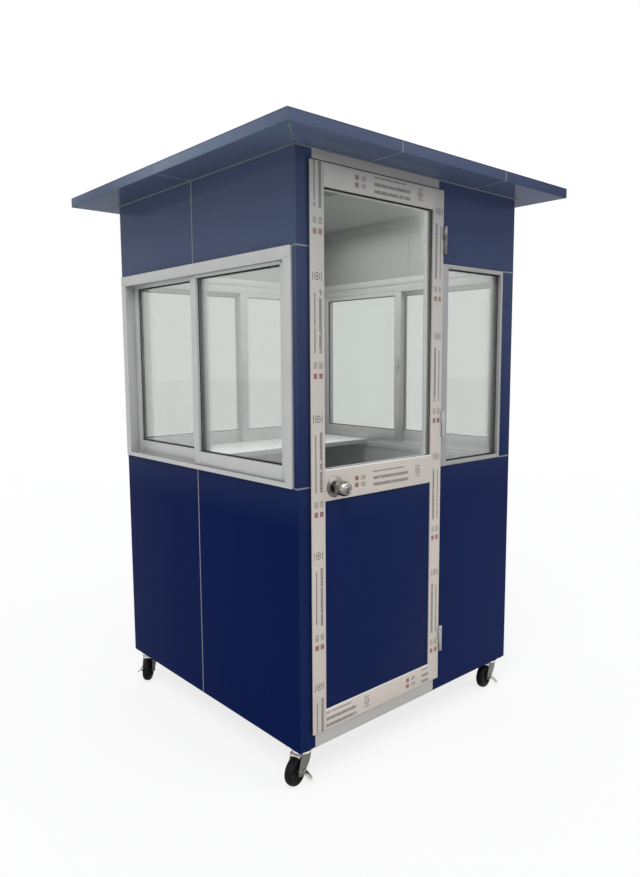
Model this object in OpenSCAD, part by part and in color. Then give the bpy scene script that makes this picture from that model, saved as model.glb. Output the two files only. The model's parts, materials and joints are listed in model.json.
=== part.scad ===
// Security guard booth on four swivel castors.
// Origin: on the ground under the middle of the plan. +Z up, door wall at -Y.
// Heights named ..._h in the wall sections are measured from the cladding's
// bottom edge, which sits one castor height above the ground.

/* [Overall] */
// Outside width of the cabin across the door wall
body_w = 1200; // [1000:10:2400]
// Outside depth of the cabin from the door wall to the back
body_d = 1200; // [1000:10:2400]
// Height from the cladding's bottom edge to the soffit
wall_h = 2000; // [1980:10:2600]
// How far the roof runs out past the walls
overhang = 150; // [60:5:300]
// Thickness of the roof slab at its fascia
roof_t = 38; // [24:1:80]

/* [Walls] */
// Thickness of the composite cladding sheet
skin_t = 4; // [2:0.5:6]
// Thickness of the insulated wall core and its steel posts
core_t = 42; // [30:1:55]
// Thickness of the inner lining sheet
lining_t = 4; // [2:0.5:6]
// Width of the silicone joints between cladding sheets
joint_w = 6; // [3:0.5:10]
// How far behind the middle the side walls' upright joints stand
side_joint_y = 10; // [-100:1:100]
// Height of the cornice strip under the ceiling
cornice_h = 40; // [20:1:80]
// Thickness of the cornice strip
cornice_t = 14; // [6:1:30]
// How far in front of the cladding's upright joint the lining's joint stands
lining_joint = 60; // [-100:1:100]

/* [Base and floor] */
// Width of the base frame's flat steel tubes
base_tube_w = 60; // [40:1:80]
// Height of the base frame's tubes
base_tube_h = 30; // [20:1:36]
// Thickness of the floor deck
deck_t = 15; // [9:1:18]
// Number of bearers between the front and back base tubes
bearers = 2; // [1:1:4]

/* [Windows] */
// Height of the window band's lower edge
sill_h = 915; // [700:5:1000]
// Height of the windows
window_h = 780; // [500:5:900]
// Width of cladding left beside each sliding window
window_margin = 17; // [10:1:60]
// How far the window frames stand out from the cladding
frame_proud = 12; // [4:1:20]
// Height of the sliding window's head, and the least face width of its jambs
frame_face = 36; // [25:1:60]
// Height of the window sill section
sill_t = 10; // [6:1:30]
// Thickness of a sliding sash
sash_t = 23; // [18:1:24]
// Height of a sash's bottom rail
sash_bottom = 58; // [30:1:80]
// Height of a sash's top rail
sash_top = 16; // [10:1:50]
// Width of the outer stiles of a sash
sash_stile = 28; // [20:1:60]
// Width of the meeting stiles of a sash
meeting_stile = 38; // [25:1:60]
// How far behind the middle the meeting stiles stand
meeting_y = 14; // [-60:1:60]
// Thickness of the window and door glass
glass_t = 5; // [4:1:8]
// How far the glass is set back in its sash
glass_recess = 13; // [4:1:17]
// Width of the casing strips over and under a window inside the cabin
casing_w = 30; // [15:1:60]
// Thickness of the casing strips
casing_t = 3; // [2:0.5:6]
// Cladding left between the fixed front window and the corner
front_margin = 78; // [60:1:200]
// Face width of the fixed front window's frame
fixed_face = 15; // [12:1:40]
// Face width of the fixed window's post beside the door
fixed_post = 34; // [30:1:60]
// How far the fixed window's frame laps over its opening
fixed_lap = 10; // [6:1:12]

/* [Door] */
// Cladding left between the corner and the doorway
corner_strip = 68; // [60:1:200]
// Width of the door leaf
leaf_w = 665; // [540:5:760]
// Height of the door leaf
leaf_h = 1910; // [1700:5:1915]
// Height of the leaf's lower edge
leaf_bottom_h = 54; // [50:1:70]
// Thickness of the door leaf
leaf_t = 40; // [30:1:50]
// How far the leaf stands out from the cladding
leaf_proud = 12; // [10:1:14]
// Width of the leaf's lip that covers the frame
lip_w = 25; // [16:1:30]
// Thickness of that lip
lip_t = 5; // [3:0.5:7]
// Gap between the leaf and the door frame
leaf_gap = 7; // [5:0.5:9]
// Width of the leaf's stiles
stile_w = 60; // [45:1:90]
// Height of the leaf's top rail
top_rail = 79; // [50:1:120]
// Height of the leaf's middle rail
mid_rail = 103; // [90:1:140]
// Height of the leaf's bottom rail
bottom_rail = 70; // [50:1:150]
// Height of the blue panel under the middle rail
door_panel_h = 738; // [500:1:900]
// Thickness of that panel
door_panel_t = 12; // [6:1:20]
// Depth of the door's panel behind the front of the leaf
door_panel_recess = 4; // [2:0.5:8]
// Depth of the door's glass behind the front of the leaf
door_glass_recess = 9; // [2:0.5:12]
// Depth of the door stops that the leaf closes towards
stop_w = 22; // [12:1:30]
// How far the door head and threshold stand out from the cladding
door_frame_proud = 2; // [0:0.5:4]
// Height of the threshold
threshold_h = 47; // [46:1:49]

/* [Hinges and lock] */
// Radius of a hinge barrel
hinge_r = 8; // [7:0.5:9]
// Length of a whole hinge
hinge_len = 106; // [60:1:140]
// Radius of a hinge pin
hinge_pin_r = 4; // [3:0.5:5]
// Radius of the lock's roses
rose_r = 36; // [28:1:40]
// Thickness of the lock's roses
rose_t = 8; // [4:1:12]
// Radius of the knob heads
knob_r = 26; // [20:1:30]
// How far a knob stands out from the leaf
knob_reach = 66; // [45:1:75]
// Distance of the lock from the leaf's free edge
lock_backset = 102; // [90:1:120]

/* [Desk] */
// Height of the desk's top
desk_h = 925; // [700:1:950]
// Thickness of the desk board
desk_t = 22; // [15:1:40]
// Depth of the desk from the back wall
desk_d = 330; // [200:5:500]
// Thickness of the desk's front edging
edging_t = 3; // [1:0.5:6]

/* [Castors] */
// Height of a castor from the ground to its top plate
castor_h = 130; // [125:1:180]
// Radius of a castor wheel
wheel_r = 50; // [40:1:52]
// Width of a castor wheel
wheel_w = 32; // [24:1:40]
// Distance of the axle behind the kingpin
trail = 42; // [36:1:50]
// Side of a castor's square top plate
plate_w = 90; // [80:1:100]
// Thickness of the castors' pressed steel
castor_steel = 4; // [3:0.5:5]
// Distance of each kingpin from the cabin's outer faces
castor_inset = 50; // [50:1:120]
// Radius of the kingpins
kingpin_r = 6; // [5:0.5:8]
// Radius of the wheel axles
axle_r = 5; // [4:0.5:6]
// Reach of the brake pedal out from the fork
pedal_reach = 30; // [20:1:50]

/* [Hidden] */
$fn = 64;
// Clearances
hair = 0.2;            // butt joints between parts of one frame
seat_gap = 0.3;        // parts that sit next to each other
pin_gap = 0.05;        // running fit of pins and axles, on the radius
wheel_gap = 5;         // wheel to fork

// Plan
hw = body_w / 2;
hd = body_d / 2;
roof_x = hw + overhang;
edge_joint_x = [-270, 310];    // places of the roof edge's joints at the front and back
roof_y = hd + overhang;
core_out_x = hw - skin_t;
core_out_y = hd - skin_t;
core_in_x = core_out_x - core_t;
core_in_y = core_out_y - core_t;
room_x = core_in_x - lining_t;
room_y = core_in_y - lining_t;

// Levels above the ground
base_z = castor_h;
deck_z = base_z + base_tube_h;
floor_z = deck_z + deck_t;
sill_z = base_z + sill_h;
head_z = sill_z + window_h;
soffit_z = base_z + wall_h;
roof_core_z = soffit_z + skin_t;
roof_z = soffit_z + roof_t;

// Sliding windows, built on the left wall: X across it, Y along it
window_depth = skin_t + core_t + lining_t;
jamb_room = 1;         // jambs stop this far short of the next wall's lining
jamb_lip = 2;          // what shows of a jamb inside its opening
frame_lap = window_depth + jamb_room - window_margin;
jamb_face = max(frame_face, frame_lap + jamb_lip);
sash_gap = window_depth - 2 * sash_t;
glass_z0 = sill_z + sill_t + seat_gap + sash_bottom;
glass_z1 = head_z - frame_face - seat_gap - sash_top;

// Door
leaf_x0 = -hw + corner_strip + leaf_gap - lip_w;
leaf_x1 = leaf_x0 + leaf_w;
leaf_z0 = base_z + leaf_bottom_h;
leaf_z1 = leaf_z0 + leaf_h;
leaf_y0 = -hd - leaf_proud;
leaf_y1 = leaf_y0 + leaf_t;
leaf_in_x0 = leaf_x0 + lip_w;
leaf_in_x1 = leaf_x1 - lip_w;
leaf_in_z1 = leaf_z1 - lip_w;
doorway_x0 = leaf_in_x0 - leaf_gap;
doorway_x1 = leaf_in_x1 + leaf_gap;
doorway_z1 = leaf_in_z1 + leaf_gap;
stop_y0 = leaf_y1 + leaf_gap;
panel_z0 = leaf_z0 + bottom_rail;
mid_z0 = panel_z0 + door_panel_h;
mid_z1 = mid_z0 + mid_rail;
top_z0 = leaf_z1 - top_rail;
door_glass_y = leaf_y0 + door_glass_recess;
door_panel_y = leaf_y0 + door_panel_recess;

// Fixed front window beside the door
fixed_x0 = leaf_x1 + 12;
fixed_x1 = hw - front_margin;
fixed_in_x0 = fixed_x0 + fixed_lap;
fixed_in_x1 = fixed_x1 - fixed_lap;

// Hinges and lock
hinge_x = leaf_x1 + 1 + hinge_r;
hinge_y = leaf_y0 - 1;
knuckle_gap = 0.4;
hinge_inset = [1673, 979, 111];      // hinge bottoms above the leaf's lower edge
hinge_web = 4.5;
hinge_crown = 4;        // solid top over the pin's bore
pin_short = 7;          // pins end this far below the hinge's top
lock_x = leaf_x0 + lock_backset;
lock_drop = 6;         // the lock sits below the middle of its rail
lock_z = mid_z0 + mid_rail / 2 - lock_drop;
neck_r = 11;

// Castors: local frame with the kingpin at the origin and the wheel at -X
crown_gap = 6;         // wheel to crown
crown_z = 2 * wheel_r + crown_gap;
crown_x = [-36, 26];   // back and front of the crown
race_r = 38;
race_lap = 2;          // the upper race stands over the lower one by this
race_h = 8;
race_z = crown_z + castor_steel;
race_mid_z = race_z + race_h;
fork_in = wheel_w / 2 + wheel_gap;
fork_out = fork_in + castor_steel;
leg_front_x = 24;      // the leg's front edge at the crown
leg_back_x = -34;      // the leg's back edge at the crown
leg_eye_r = 14.5;      // round end of the leg at the axle
nut_t = 5;
nut_r = axle_r + 4;
shoulder_r = 8;        // rounding of the tyre's edges
rim_r = wheel_r - 16;  // inner edge of the tyre's flat side
dish = 5;              // depth of the wheel's dished side
hub_r = 16;
pedal_t = 3;
pedal_slope = 36;
pedal_eye_r = 11;
pedal_tab_x = [10, 30];  // the foot tab's two edges
castor_x = hw - castor_inset;
castor_y = hd - castor_inset;
heading_fl = 15;
heading_fr = 10;
heading_bl = 47;
heading_br = 40;

// Colours
navy = [0.10, 0.14, 0.32];
silver = [0.75, 0.76, 0.77];
film = [0.74, 0.70, 0.66];
steel = [0.45, 0.46, 0.48];
white = [0.90, 0.90, 0.88];
lining_grey = [0.78, 0.80, 0.78];
sealant = [0.60, 0.62, 0.64];
rubber = [0.06, 0.06, 0.06];
glazing = [0.70, 0.80, 0.80, 0.35];

// A box given by two opposite corners
module block(lo, hi) {
    translate(lo) cube(hi - lo);
}

// The same piece on both sides of the middle plane across X
module both_x() {
    children();
    mirror([1, 0, 0]) children();
}

// ---------- base and floor ----------

module base_side_tubes() {
    color(steel) both_x()
        block([core_out_x - base_tube_w, -core_out_y, base_z], [core_out_x, core_out_y, deck_z]);
}

module base_cross_tubes() {
    inner = core_out_x - base_tube_w - hair;
    first = -core_out_y;
    last = core_out_y - base_tube_w;
    step = (last - first) / (bearers + 1);
    color(steel) for (i = [0 : bearers + 1])
        block([-inner, first + i * step, base_z], [inner, first + i * step + base_tube_w, deck_z]);
}

module floor_deck() {
    color(lining_grey)
        block([-room_x + hair, -room_y + hair, deck_z], [room_x - hair, room_y - hair, floor_z]);
}

// ---------- walls ----------

// Four steel posts; the front right one is widened to the fixed window
module corner_posts() {
    color(steel) {
        for (sy = [-1, 1])
            block([-core_out_x, min(sy * core_in_y, sy * core_out_y), deck_z],
                  [-core_in_x, max(sy * core_in_y, sy * core_out_y), roof_core_z]);
        block([core_in_x, core_in_y, deck_z], [core_out_x, core_out_y, roof_core_z]);
        block([fixed_in_x1 + seat_gap, -core_out_y, deck_z], [core_out_x, -core_in_y, roof_core_z]);
    }
}

// Cores of a wall with a sliding window: one below the window, one above it
module window_wall_core(dist, half) {
    color(lining_grey) {
        block([-dist + skin_t, -half + hair, deck_z],
              [-dist + skin_t + core_t, half - hair, sill_z - hair]);
        block([-dist + skin_t, -half + hair, head_z + hair],
              [-dist + skin_t + core_t, half - hair, roof_core_z]);
    }
}

module left_wall_core() {
    window_wall_core(hw, core_in_y);
}

module right_wall_core() {
    mirror([1, 0, 0]) window_wall_core(hw, core_in_y);
}

module back_wall_core() {
    rotate(-90) window_wall_core(hd, core_in_x);
}

module front_wall_core() {
    x1 = fixed_in_x1;
    color(lining_grey) {
        block([fixed_in_x0, -core_out_y, deck_z], [x1, -core_in_y, sill_z - hair]);
        block([fixed_in_x0, -core_out_y, head_z + hair], [x1, -core_in_y, roof_core_z]);
    }
}

// A cladding sheet folded round one corner: arms along X and Y
module wrap_sheet(sx, sy, arm_x, arm_y, z0, z1) {
    scale([sx, sy, 1]) {
        block([hw - arm_x, hd - skin_t, z0], [hw, hd, z1]);
        block([hw - skin_t, hd - arm_y, z0], [hw, hd, z1]);
    }
}

// One band of folded sheets with upright joints on the side and back walls
module band(z0, z1) {
    front_arm = hd + side_joint_y - joint_w / 2;
    back_arm = hd - side_joint_y - joint_w / 2;
    half = hw - joint_w / 2;
    color(navy) {
        wrap_sheet(-1, -1, corner_strip, front_arm, z0, z1);
        wrap_sheet(1, -1, hw - doorway_x1, front_arm, z0, z1);
        wrap_sheet(-1, 1, half, back_arm, z0, z1);
        wrap_sheet(1, 1, half, back_arm, z0, z1);
    }
}

module cladding_lower() {
    band(base_z, sill_z - joint_w / 2);
}

module cladding_upper() {
    band(head_z + joint_w / 2, roof_core_z);
}

// Corner strips beside the windows, and the strip between door and fixed window
module cladding_middle() {
    z0 = sill_z + joint_w / 2;
    z1 = head_z - joint_w / 2;
    arm = window_margin + frame_lap - seat_gap;
    color(navy) {
        wrap_sheet(-1, -1, corner_strip, arm, z0, z1);
        wrap_sheet(1, -1, front_margin + fixed_lap - seat_gap, arm, z0, z1);
        wrap_sheet(-1, 1, arm, arm, z0, z1);
        wrap_sheet(1, 1, arm, arm, z0, z1);
        block([doorway_x1, -hd, z0], [fixed_in_x0 - seat_gap, -hd + skin_t, z1]);
    }
}

// A joint strip round a corner, between two bands of folded sheets
module corner_bead(sx, sy, arm_x, arm_y, z) {
    wrap_sheet(sx, sy, arm_x, arm_y, z - joint_w / 2 + hair, z + joint_w / 2 - hair);
}

// Upright joint strips on the side walls and the back wall
module upright_beads(z0, z1) {
    w = joint_w / 2 - hair;
    both_x() block([hw - skin_t, side_joint_y - w, z0], [hw, side_joint_y + w, z1]);
    block([-w, hd - skin_t, z0], [w, hd, z1]);
}

// Strips in the soffit's joints and mitres and in the fascia's joints
module roof_beads() {
    w = joint_w - 2 * hair;
    bead = joint_w / sqrt(2) - 2 * hair;
    intersection() {
        edge_joints(w, soffit_z, roof_z - skin_t);
        union() {
            fascia_ring();
            difference() {
                block([-roof_x, -roof_y, soffit_z], [roof_x, roof_y, roof_core_z]);
                block([-hw - 6, -hd - 6, soffit_z - 1], [hw + 6, hd + 6, roof_z]);
            }
        }
    }
    for (sx = [-1, 1], sy = [-1, 1])
        scale([sx, sy, 1]) translate([hw + overhang / 2, hd + overhang / 2, soffit_z]) rotate(45)
            block([-overhang / 2, -bead / 2, 0], [overhang / 2, bead / 2, skin_t - hair]);
}

// The bead along the top of the walls, stepped out over the door head
module wall_top_bead() {
    w = 3.5;
    z0 = soffit_z - w;
    x_out = hw + w;
    out = hd + w;
    y_head = -hd - door_frame_proud;
    both_x() block([hw, -hd, z0], [x_out, hd, soffit_z]);
    block([-x_out, hd, z0], [x_out, out, soffit_z]);
    block([-x_out, -out, z0], [doorway_x0, -hd, soffit_z]);
    block([doorway_x1, -out, z0], [x_out, -hd, soffit_z]);
    block([doorway_x0, y_head - w, z0], [doorway_x1, y_head, soffit_z]);
}

module silicone_joints() {
    arm = window_margin - hair;
    color(sealant) {
        roof_beads();
        wall_top_bead();
        for (z = [sill_z, head_z]) {
            corner_bead(-1, -1, corner_strip, arm, z);
            corner_bead(1, -1, front_margin - hair, arm, z);
            corner_bead(-1, 1, arm, arm, z);
            corner_bead(1, 1, arm, arm, z);
        }
        upright_beads(base_z, sill_z - joint_w / 2);
        upright_beads(head_z + joint_w / 2, roof_core_z - hair);
    }
}

// Lining sheets below and above a sliding window, which fills the room's width
module window_wall_lining(dist, y0, y1) {
    x0 = -dist + skin_t + core_t;
    x1 = x0 + lining_t;
    y_joint = side_joint_y - lining_joint;
    color(lining_grey) for (z = [[deck_z, sill_z - hair], [head_z + hair, roof_core_z]]) {
        block([x0, y0, z[0]], [x1, y_joint - 2 * hair, z[1]]);
        block([x0, y_joint + 2 * hair, z[0]], [x1, y1, z[1]]);
    }
}

module wall_lining() {
    x1 = core_in_x - hair;
    both_x() window_wall_lining(hw, -room_y + hair, core_in_y - hair);
    rotate(-90) window_wall_lining(hd, -room_x + hair, room_x - hair);
    color(lining_grey) {
        block([fixed_in_x0, -core_in_y, deck_z], [x1, -room_y, sill_z - hair]);
        block([fixed_in_x0, -core_in_y, head_z + hair], [x1, -room_y, roof_core_z]);
        block([fixed_in_x1 + seat_gap, -core_in_y, sill_z], [x1, -room_y, head_z]);
    }
}

// ---------- roof ----------

module roof_core() {
    color(steel)
        block([-roof_x + skin_t, -roof_y + skin_t, roof_core_z],
              [roof_x - skin_t, roof_y - skin_t, roof_z - skin_t]);
}

module roof_sheet() {
    color(navy)
        block([-roof_x, -roof_y, roof_z - skin_t], [roof_x, roof_y, roof_z]);
}

// Strips through the roof's edge at each sheet joint: w is the strip's width
module edge_joints(w, z0, z1) {
    both_x() block([hw - 50, side_joint_y - w / 2, z0], [roof_x + 1, side_joint_y + w / 2, z1]);
    for (x = edge_joint_x, s = [-1, 1])
        scale([1, s, 1]) block([x - w / 2, hd - 50, z0], [x + w / 2, roof_y + 1, z1]);
}

// The outline that the edge sheets follow
module fascia_ring() {
    difference() {
        block([-roof_x, -roof_y, soffit_z], [roof_x, roof_y, roof_z - skin_t]);
        block([-roof_x + skin_t, -roof_y + skin_t, soffit_z - 1],
              [roof_x - skin_t, roof_y - skin_t, roof_z]);
    }
}

// Edge sheets of the roof, folded round its corners
module fascia() {
    color(navy) difference() {
        fascia_ring();
        edge_joints(joint_w, soffit_z - 1, roof_z);
    }
}

// One trapezoid of soffit sheet per side, with open mitres at the corners
module soffit_side(out_dist, out_half, in_dist, in_half) {
    m = joint_w / 2;
    linear_extrude(skin_t)
        polygon([[-out_dist, -out_half + m], [-in_dist, -in_half + m],
                 [-in_dist, in_half - m], [-out_dist, out_half - m]]);
}

module soffit() {
    ox = roof_x - skin_t;
    oy = roof_y - skin_t;
    ix = hw + seat_gap;
    iy = hd + seat_gap;
    color(navy) difference() {
        translate([0, 0, soffit_z]) {
            both_x() soffit_side(ox, oy, ix, iy);
            rotate(90) soffit_side(oy, ox, iy, ix);
            rotate(-90) soffit_side(oy, ox, iy, ix);
        }
        edge_joints(joint_w, soffit_z - 1, roof_z);
    }
}

module ceiling() {
    color(white)
        block([-room_x + hair, -room_y + hair, soffit_z], [room_x - hair, room_y - hair, roof_core_z]);
}

// Four strips under the ceiling
module cornice() {
    x = room_x;
    y = room_y;
    z0 = soffit_z - cornice_h;
    color(white) {
        both_x() block([x - cornice_t, -y, z0], [x, y, soffit_z]);
        for (s = [-1, 1])
            scale([1, s, 1])
                block([-x + cornice_t + hair, y - cornice_t, z0], [x - cornice_t - hair, y, soffit_z]);
    }
}

// ---------- windows ----------

// Outer frame of a sliding window: head, sill and two jambs
module sliding_frame(dist, half) {
    flange = half - window_margin;
    throat = flange - frame_lap;
    x0 = -dist - frame_proud;
    x1 = -dist + window_depth;
    inner = flange - jamb_face;
    color(silver) {
        block([x0, -flange, head_z - frame_face], [-dist, flange, head_z]);
        block([-dist, -throat, head_z - frame_face], [x1, throat, head_z]);
        block([x0, -flange, sill_z], [-dist, flange, sill_z + sill_t]);
        block([-dist, -throat, sill_z], [x1, throat, sill_z + sill_t]);
        for (s = [-1, 1])
            scale([1, s, 1]) {
                z0 = sill_z + sill_t + hair;
                z1 = head_z - frame_face - hair;
                block([x0, inner, z0], [-dist, flange, z1]);
                block([-dist, inner, z0], [x1, throat, z1]);
            }
    }
}

module left_window_frame() {
    sliding_frame(hw, hd);
}

module right_window_frame() {
    mirror([1, 0, 0]) sliding_frame(hw, hd);
}

module back_window_frame() {
    rotate(-90) sliding_frame(hd, hw);
}

// One sash: two stiles with rails between them; stile widths given low Y, high Y
module sash(x, y0, y1, low_stile, high_stile) {
    z0 = sill_z + sill_t + seat_gap;
    z1 = head_z - frame_face - seat_gap;
    r0 = y0 + low_stile + hair;
    r1 = y1 - high_stile - hair;
    color(silver) {
        block([x, y0, z0], [x + sash_t, y0 + low_stile, z1]);
        block([x, y1 - high_stile, z0], [x + sash_t, y1, z1]);
        block([x, r0, z0], [x + sash_t, r1, z0 + sash_bottom]);
        block([x, r0, z1 - sash_top], [x + sash_t, r1, z1]);
    }
}

function sash_edge(half) = half - window_margin - jamb_face - seat_gap;

// The outer sash fills the front half, the inner one the back half
module outer_sash(dist, half) {
    sash(-dist, -sash_edge(half), meeting_y + meeting_stile / 2, sash_stile, meeting_stile);
}

module inner_sash(dist, half) {
    x = -dist + sash_t + sash_gap;
    sash(x, meeting_y - meeting_stile / 2, sash_edge(half), meeting_stile, sash_stile);
}

module sash_panes(dist, half) {
    e = sash_edge(half);
    x_out = -dist + glass_recess;
    x_in = x_out + sash_t + sash_gap;
    y_mid = meeting_stile / 2;
    color(glazing) {
        block([x_out, -e + sash_stile + seat_gap, glass_z0 + seat_gap],
              [x_out + glass_t, meeting_y - y_mid - seat_gap, glass_z1 - seat_gap]);
        block([x_in, meeting_y + y_mid + seat_gap, glass_z0 + seat_gap],
              [x_in + glass_t, e - sash_stile - seat_gap, glass_z1 - seat_gap]);
    }
}

module outer_sashes() {
    both_x() outer_sash(hw, hd);
    rotate(-90) outer_sash(hd, hw);
}

module inner_sashes() {
    both_x() inner_sash(hw, hd);
    rotate(-90) inner_sash(hd, hw);
}

module window_glass() {
    both_x() sash_panes(hw, hd);
    rotate(-90) sash_panes(hd, hw);
    color(glazing)
        block([fixed_x0 + fixed_post + seat_gap, -hd + glass_recess, sill_z + fixed_face + seat_gap],
              [fixed_x1 - fixed_face - seat_gap, -hd + glass_recess + glass_t,
               head_z - fixed_face - seat_gap]);
}

// Frame of the fixed window: two posts with a head and a sill between them
module front_window_frame() {
    y0 = -hd - door_frame_proud;
    y1 = -room_y;
    xa = fixed_x0 + fixed_post + hair;
    xb = fixed_x1 - fixed_face - hair;
    color(silver) {
        block([fixed_x0, y0, sill_z], [xa - hair, -hd, head_z]);
        block([fixed_in_x0, -hd, sill_z], [xa - hair, y1, head_z]);
        block([xb + hair, y0, sill_z], [fixed_x1, -hd, head_z]);
        block([xb + hair, -hd, sill_z], [fixed_in_x1, y1, head_z]);
        block([xa, y0, sill_z], [xb, y1, sill_z + fixed_face]);
        block([xa, y0, head_z - fixed_face], [xb, y1, head_z]);
    }
}

// Casing strips inside the cabin, on the lining over and under a sliding window
module casing(dist, half) {
    x0 = -dist + skin_t + core_t + lining_t;
    x1 = x0 + casing_t;
    color(silver) {
        block([x0, -half, head_z + hair], [x1, half, head_z + casing_w]);
        block([x0, -half, sill_z - casing_w], [x1, half, sill_z - hair]);
    }
}

module window_casings() {
    both_x() casing(hw, room_y - hair);
    rotate(-90) casing(hd, room_x - casing_t - hair);
}

// ---------- doorway ----------

module door_jambs() {
    z0 = deck_z;
    z1 = roof_core_z;
    color(silver) {
        block([-core_in_x + hair, -core_out_y, z0], [doorway_x0, -room_y, z1]);
        block([doorway_x0, stop_y0, z0], [doorway_x0 + stop_w, -room_y, z1]);
        block([doorway_x1, -core_out_y, z0], [fixed_in_x0 - hair, -room_y, z1]);
        block([doorway_x1 - stop_w, stop_y0, z0], [doorway_x1, -room_y, z1]);
    }
}

module door_head() {
    y0 = -hd - door_frame_proud;
    color(silver) {
        block([doorway_x0 + hair, y0, doorway_z1], [doorway_x1 - hair, stop_y0 - hair, soffit_z]);
        block([doorway_x0 + stop_w + hair, stop_y0 - 2 * hair, doorway_z1 - stop_w],
              [doorway_x1 - stop_w - hair, -room_y, roof_core_z]);
    }
}

// Threshold: a face plate over the base tube and a tread behind it
module threshold() {
    y0 = -hd - door_frame_proud;
    z1 = base_z + threshold_h;
    color(silver) {
        block([doorway_x0 + hair, y0, base_z], [doorway_x1 - hair, -core_out_y - hair, z1]);
        block([doorway_x0 + hair, -core_out_y - 2 * hair, deck_z + hair],
              [doorway_x1 - hair, stop_y0 - hair, z1]);
        block([doorway_x0 + stop_w + hair, stop_y0 - 2 * hair, deck_z + hair],
              [doorway_x1 - stop_w - hair, -room_y, z1]);
    }
}

// ---------- door leaf ----------

// Two stiles, each a box with a lip that covers the frame
module door_stiles() {
    color(film) {
        block([leaf_x0, leaf_y0, leaf_z0], [leaf_x0 + stile_w, leaf_y0 + lip_t, leaf_z1]);
        block([leaf_in_x0, leaf_y0, leaf_z0], [leaf_x0 + stile_w, leaf_y1, leaf_in_z1]);
        block([leaf_x1 - stile_w, leaf_y0, leaf_z0], [leaf_x1, leaf_y0 + lip_t, leaf_z1]);
        block([leaf_x1 - stile_w, leaf_y0, leaf_z0], [leaf_in_x1, leaf_y1, leaf_in_z1]);
    }
}

module door_rails() {
    x0 = leaf_x0 + stile_w + hair;
    x1 = leaf_x1 - stile_w - hair;
    color(film) difference() {
        union() {
            block([x0, leaf_y0, leaf_z0], [x1, leaf_y1, panel_z0]);
            block([x0, leaf_y0, mid_z0], [x1, leaf_y1, mid_z1]);
            block([x0, leaf_y0, top_z0], [x1, leaf_y1, leaf_in_z1]);
            block([x0, leaf_y0, top_z0], [x1, leaf_y0 + lip_t, leaf_z1]);
        }
        translate([lock_x, leaf_y0 - 1, lock_z]) rotate([-90, 0, 0])
            cylinder(r = neck_r + seat_gap, h = leaf_t + 2);
    }
}

module door_glass() {
    color(glazing)
        block([leaf_x0 + stile_w + seat_gap, door_glass_y, mid_z1 + seat_gap],
              [leaf_x1 - stile_w - seat_gap, door_glass_y + glass_t, top_z0 - seat_gap]);
}

module door_panel() {
    color(navy)
        block([leaf_x0 + stile_w + seat_gap, door_panel_y, panel_z0 + seat_gap],
              [leaf_x1 - stile_w - seat_gap, door_panel_y + door_panel_t, mid_z0 - seat_gap]);
}

// ---------- hinges ----------

// Upper knuckles turn with the leaf and are welded to its lip
module door_hinges() {
    h = (hinge_len - knuckle_gap) / 2;
    color(silver) for (z = hinge_inset)
        translate([hinge_x, hinge_y, leaf_z0 + z + hinge_len - h]) difference() {
            union() {
                cylinder(r = hinge_r, h = h);
                block([leaf_x1 - hinge_x, 1, 0], [0, 1 + hinge_web, h]);
            }
            translate([0, 0, -1]) cylinder(r = hinge_pin_r + pin_gap, h = h - hinge_crown);
        }
}

// Lower knuckles stand on the cladding and carry the pins
module frame_hinges() {
    h = (hinge_len - knuckle_gap) / 2;
    color(silver) for (z = hinge_inset)
        translate([hinge_x, hinge_y, leaf_z0 + z]) {
            cylinder(r = hinge_r, h = h);
            block([-hinge_web / 2, 0, 0], [hinge_web / 2, -hd - hinge_y, h]);
            cylinder(r = hinge_pin_r, h = hinge_len - pin_short);
        }
}

// ---------- lock ----------

// Places a turned lock piece on the leaf: local +Z points away from the door
module on_leaf(face_y, out) {
    translate([lock_x, face_y, lock_z]) rotate([out * 90, 0, 0]) children();
}

module rose() {
    bevel = rose_t / 2;
    difference() {
        rotate_extrude()
            polygon([[0, 0], [rose_r, 0], [rose_r, rose_t - bevel], [rose_r - bevel, rose_t],
                     [0, rose_t]]);
        translate([0, 0, -1]) cylinder(r = neck_r + seat_gap, h = rose_t + 2);
    }
}

module lock_roses() {
    color(silver) {
        on_leaf(leaf_y0, 1) rose();
        on_leaf(leaf_y1, -1) rose();
    }
}

// A turned knob; its neck runs through the rose into the leaf
module knob() {
    head_l = 50;
    round_r = 8;
    cone_l = 12;
    neck_z = knob_reach - head_l;
    corner = [for (a = [0 : 15 : 90])
        [knob_r - round_r + round_r * cos(a), knob_reach - round_r + round_r * sin(a)]];
    rotate_extrude()
        polygon(concat([[0, -leaf_t / 2 + hair], [neck_r, -leaf_t / 2 + hair], [neck_r, neck_z],
                        [knob_r - round_r, neck_z + cone_l - round_r], [knob_r, neck_z + cone_l]],
                       corner, [[0, knob_reach]]));
}

module outer_knob() {
    color(silver) on_leaf(leaf_y0, 1) knob();
}

module inner_knob() {
    color(silver) on_leaf(leaf_y1, -1) knob();
}

module lock_faceplate() {
    plate_h = 120;
    plate_d = 24;
    plate_t = 1.8;
    y_mid = (leaf_y0 + lip_t + leaf_y1) / 2;
    color(steel)
        block([leaf_in_x0 - plate_t, y_mid - plate_d / 2, lock_z - plate_h / 2],
              [leaf_in_x0, y_mid + plate_d / 2, lock_z + plate_h / 2]);
}

// ---------- desk ----------

module desk_top() {
    x = room_x - casing_t - seat_gap;
    z = base_z + desk_h;
    y1 = room_y - casing_t - seat_gap;
    color(white)
        block([-x, room_y - desk_d + edging_t, z - desk_t], [x, y1, z]);
}

module desk_edging() {
    x = room_x - casing_t - seat_gap;
    z = base_z + desk_h;
    color(sealant)
        block([-x, room_y - desk_d, z - desk_t], [x, room_y - desk_d + edging_t, z]);
}

// ---------- castors ----------

// Puts a castor piece under one corner, turned to its heading
module at_corner(sx, sy, heading) {
    translate([sx * castor_x, sy * castor_y, 0]) rotate(heading) children();
}

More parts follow.
